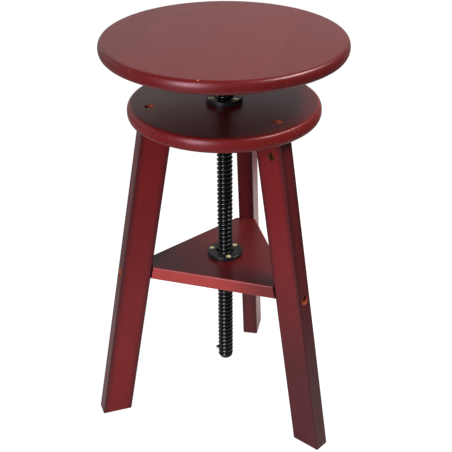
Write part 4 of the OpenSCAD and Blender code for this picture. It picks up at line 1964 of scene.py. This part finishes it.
    def barrels(self) -> Piece:
        """The barrel nuts, put in from below.

        Returns:
            The set.
        """
        plan = self.plan
        blank, cuts = FIT.barrel(self.barrel_l, plan.shelf_mid - plan.shelf_low)
        spots = [(axes.world((self.barrel_r, 0, plan.shelf_low))[0], basis((0, 0, 1), axes.turn()[:, 0]))
                 for axes in plan.axes.values()]
        one = Piece("shelf_barrel_set", "shelf_barrel_nuts", Body.FRAME, Slot.AGED_BRASS, AGED, blank)
        return set_of(one, cuts, spots)

    def pieces(self) -> list[Piece]:
        """All pieces of the shelf."""
        return [self.board(), self.guide(), self.flange.screw_set(), self.guide_ring(),
                self.bolts(), self.barrels()]


@dataclass(frozen=True)
class Lamp:
    """A soft box, placed round the stool as seen from the camera.

    Its power is the wanted share of full daylight on the stool, times pi squared, times the
    square of its distance.
    """

    name: str
    azimuth: float
    elevation: float
    width: float
    height: float
    share: float
    tint: Colour
    distance: float = 2.0

    def build(self, camera_turn: float, aim: Colour) -> None:
        """Hangs the lamp so that it faces the stool.

        Args:
            camera_turn: Azimuth of the camera.
            aim: Place that the lamp faces.
        """
        data = bpy.data.lights.new(self.name, "AREA")
        data.shape = "RECTANGLE"
        data.size, data.size_y = self.width, self.height
        data.energy = self.share * math.pi**2 * self.distance**2
        data.color = self.tint
        made = new_object(self.name, data)
        level = math.cos(math.radians(self.elevation)) * self.distance
        rise = math.sin(math.radians(self.elevation)) * self.distance
        away = Vector(polar(level, camera_turn + self.azimuth, rise))
        made.location = Vector(aim) + away
        made.rotation_euler = away.to_track_quat("Z", "Y").to_euler()
        made.visible_camera = False


@dataclass
class Studio:
    """Camera, lamps, floor and white surroundings.

    Azimuths are measured from the camera's own. A pair named for a fade holds where it is 0 and
    where it is 1. What is mirrored in the stool is set apart from what the camera sees.
    """

    camera_turn: float = -78.547
    camera_away: float = 1.35197
    camera_up: float = 1.06584
    camera_pitch: float = 29.127
    camera_yaw: float = 0.064
    camera_roll: float = -0.308
    lens: float = 80.0
    sensor: float = 36.0
    view_end: float = 100.0
    aim: Colour = (0.0, 0.0, 0.36)

    floor_half: float = 40.0
    floor_low: float = 0.2 * MM
    floor_share: float = 0.7
    floor_mirrored: float = 0.55
    floor_glow: float = 1.4
    floor_white: Colour = (0.45, 0.45, 0.45)
    floor_bright: float = 0.7
    sweep: float = 1.2
    near_share: float = 1.05
    near_fade: Pair = (0.85, 0.4)
    patches: tuple[Pair, ...] = ((0.52, 160.0), (1.05, -32.0))
    patch_share: float = 1.9
    patch_fade: Pair = (0.5, 0.2)

    bright_side: float = -150.0
    side_fade: Pair = (0.15, 0.75)
    dark_share: float = 0.25
    sky_bright: float = 1.15
    mirrored_low: float = 0.56
    mirrored_high: float = 0.51
    rise_fade: Pair = (0.20, 0.30)
    top_dark: float = 0.45
    top_fade: Pair = (0.49, 0.57)
    band_side: float = -31.0
    band_share: float = 0.5
    band_fade: Pair = (0.26, 0.10)
    band_ahead_fade: Pair = (0.2, 0.5)
    soft_low: float = 0.05
    soft_high: float = 0.26
    soft_fade: Pair = (0.0, 0.9)
    soft_front: float = 0.10
    front_fade: Pair = (0.2, 1.0)

    lamps: tuple[Lamp, ...] = (
        Lamp("window", -31, 16, width=0.7, height=1.5, share=0.98, tint=(1.0, 0.97, 1.08)),
        Lamp("overhead", 82, 53, width=1.4, height=0.28, share=1.15, tint=(1.0, 1.0, 0.92)),
    )

    def camera(self) -> None:
        """The camera at the photograph's viewpoint.

        It looks back towards the screw's axis, less the yaw, and its pitch and roll turn it about
        its own axes.
        """
        data = bpy.data.cameras.new("camera")
        data.lens, data.sensor_width = self.lens, self.sensor
        data.clip_end = self.view_end
        made = new_object("camera", data)
        heading = math.radians(self.camera_turn + 180 - self.camera_yaw - 90)
        turn = Matrix.Rotation(heading, 4, "Z")
        turn = turn @ Matrix.Rotation(math.radians(90 - self.camera_pitch), 4, "X")
        turn = turn @ Matrix.Rotation(math.radians(self.camera_roll), 4, "Z")
        place = polar(self.camera_away, self.camera_turn, self.camera_up)
        made.matrix_world = Matrix.Translation(Vector(place)) @ turn
        bpy.context.scene.camera = made

    def towards(self, shader: Shader, vector: Value, side: float, size: float = 1.0) -> Value:
        """How far a vector reaches towards one side, as a share of a size.

        Args:
            shader: Shader of the floor or of the surroundings.
            vector: Place or direction.
            side: Azimuth of the side, from the camera's.
            size: Length that counts as 1.

        Returns:
            The share.
        """
        x, y, _ = shader.axes(vector)
        aim = polar(1 / size, self.camera_turn + side)
        return x * float(aim[0]) + y * float(aim[1])

    def shade(self, shader: Shader, vector: Value, size: float, full: float) -> Value:
        """Rises from the dark share to the full one towards the bright side; size counts as 1."""
        side = self.towards(shader, vector, self.bright_side, size)
        return self.dark_share + side.fade(*self.side_fade) * (full - self.dark_share)

    def seen(self, shader: Shader) -> tuple[Value, Value]:
        """Tells rays apart.

        Args:
            shader: Shader of the floor or of the surroundings.

        Returns:
            1 for rays from the camera, and 1 for mirrored rays and rays through glass.
        """
        path = shader.add("ShaderNodeLightPath").socket.node.outputs
        names = ("Is Camera Ray", "Is Glossy Ray", "Is Transmission Ray")
        camera, glossy, clear = (Value(shader, path[name]) for name in names)
        return camera, glossy.most(clear)

    def floor_tone(self, shader: Shader) -> Value:
        """How bright the floor is: most of it near the stool and in round patches.

        Args:
            shader: The floor's shader.

        Returns:
            A share of white.
        """
        place = shader.objects_own()
        x, y, _ = shader.axes(place)
        near = x.length(y).fade(*self.near_fade) * self.near_share
        for radius, side in self.patches:
            middle = polar(radius, self.camera_turn + side)
            off = (x - float(middle[0])).length(y - float(middle[1]))
            near = near.most(off.fade(*self.patch_fade) * self.patch_share)
        return near.most(self.shade(shader, place, self.sweep, self.floor_bright))

    def floor(self) -> None:
        """A white floor, which keeps part of the stool's shadow."""
        half = self.floor_half
        corners = [(-half, -half), (half, -half), (half, half), (-half, half)]
        points = np.array([(x, y, -self.floor_low) for x, y in corners])
        mesh = Skin(points, np.array([[0, 1, 2, 3]])).mesh("floor")
        made = new_object("floor", mesh)
        finish, shader = new_material("white_floor")
        tone = self.floor_tone(shader)
        white = shader.toned(self.floor_white, tone)
        paint = shader.add("ShaderNodeBsdfDiffuse", None, {"Color": white})
        camera, mirrored = self.seen(shader)
        glow = camera * self.floor_glow + mirrored * tone * self.mirrored_low
        light = shader.add("ShaderNodeEmission", None, {"Color": (1, 1, 1, 1), "Strength": glow})
        share = camera * self.floor_share + mirrored * self.floor_mirrored
        both = shader.add("ShaderNodeMixShader", None, {0: share, 1: paint, 2: light})
        shader.add("ShaderNodeOutputMaterial", None, {"Surface": both})
        mesh.materials.append(finish)

    def sky(self) -> None:
        """White surroundings, dimmer overhead in mirrored rays and brightest there as light.

        Mirrored rays also meet an upright band of light on the window's side.
        """
        world = bpy.data.worlds.new("studio")
        bpy.context.scene.world = world
        world.use_nodes = True
        shader = Shader(world.node_tree)
        place = shader.add("ShaderNodeTexCoord", output="Generated")
        rise = shader.axes(place)[2]
        camera, mirrored = self.seen(shader)
        change = self.mirrored_high - self.mirrored_low
        shown = self.mirrored_low + rise.fade(*self.rise_fade) * change
        shown = shown * self.shade(shader, place, 1.0, self.sky_bright)
        shown = shown * (1 - rise.fade(*self.top_fade) * self.top_dark)
        beside = abs(self.towards(shader, place, self.band_side + 90)).fade(*self.band_fade)
        ahead = self.towards(shader, place, self.band_side).fade(*self.band_ahead_fade)
        shown = shown + beside * ahead * self.band_share
        soft = self.soft_low + rise.fade(*self.soft_fade) * (self.soft_high - self.soft_low)
        front = self.towards(shader, place, 0).fade(*self.front_fade)
        soft = soft + front * self.soft_front
        strength = camera.most(mirrored * shown + (1 - mirrored) * soft)
        inputs = {"Color": (1, 1, 1, 1), "Strength": strength}
        light = shader.add("ShaderNodeBackground", None, inputs)
        shader.add("ShaderNodeOutputWorld", None, {"Surface": light})

    def build(self) -> None:
        """Makes the whole studio."""
        bpy.context.scene.view_settings.view_transform = "Standard"
        self.camera()
        self.floor()
        self.sky()
        for lamp in self.lamps:
            lamp.build(self.camera_turn, self.aim)


def dress_kept_nodes() -> None:
    """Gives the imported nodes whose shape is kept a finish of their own."""
    kept = {"leg_bolt_washers": ZINC, "shelf_bolt_washers": ZINC, "leg_pins": PINE,
            "guide_ring_clip": ZINC}
    for name, finish in kept.items():
        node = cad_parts[name]
        node.data.materials.clear()
        node.data.materials.append(finish.material())
        LOG.info("%s: kept as packed", name)


def main() -> None:
    """Builds every sub-assembly in order, then the studio."""
    logging.basicConfig(level=logging.INFO, format="%(name)s %(message)s")
    plan = Plan()
    for assembly in (Seat(), Screw(), TopDisc(plan), Legs(plan), Shelf(plan)):
        for piece in assembly.pieces():
            piece.build()
    dress_kept_nodes()
    Studio().build()


if __name__ == "__main__":
    main()
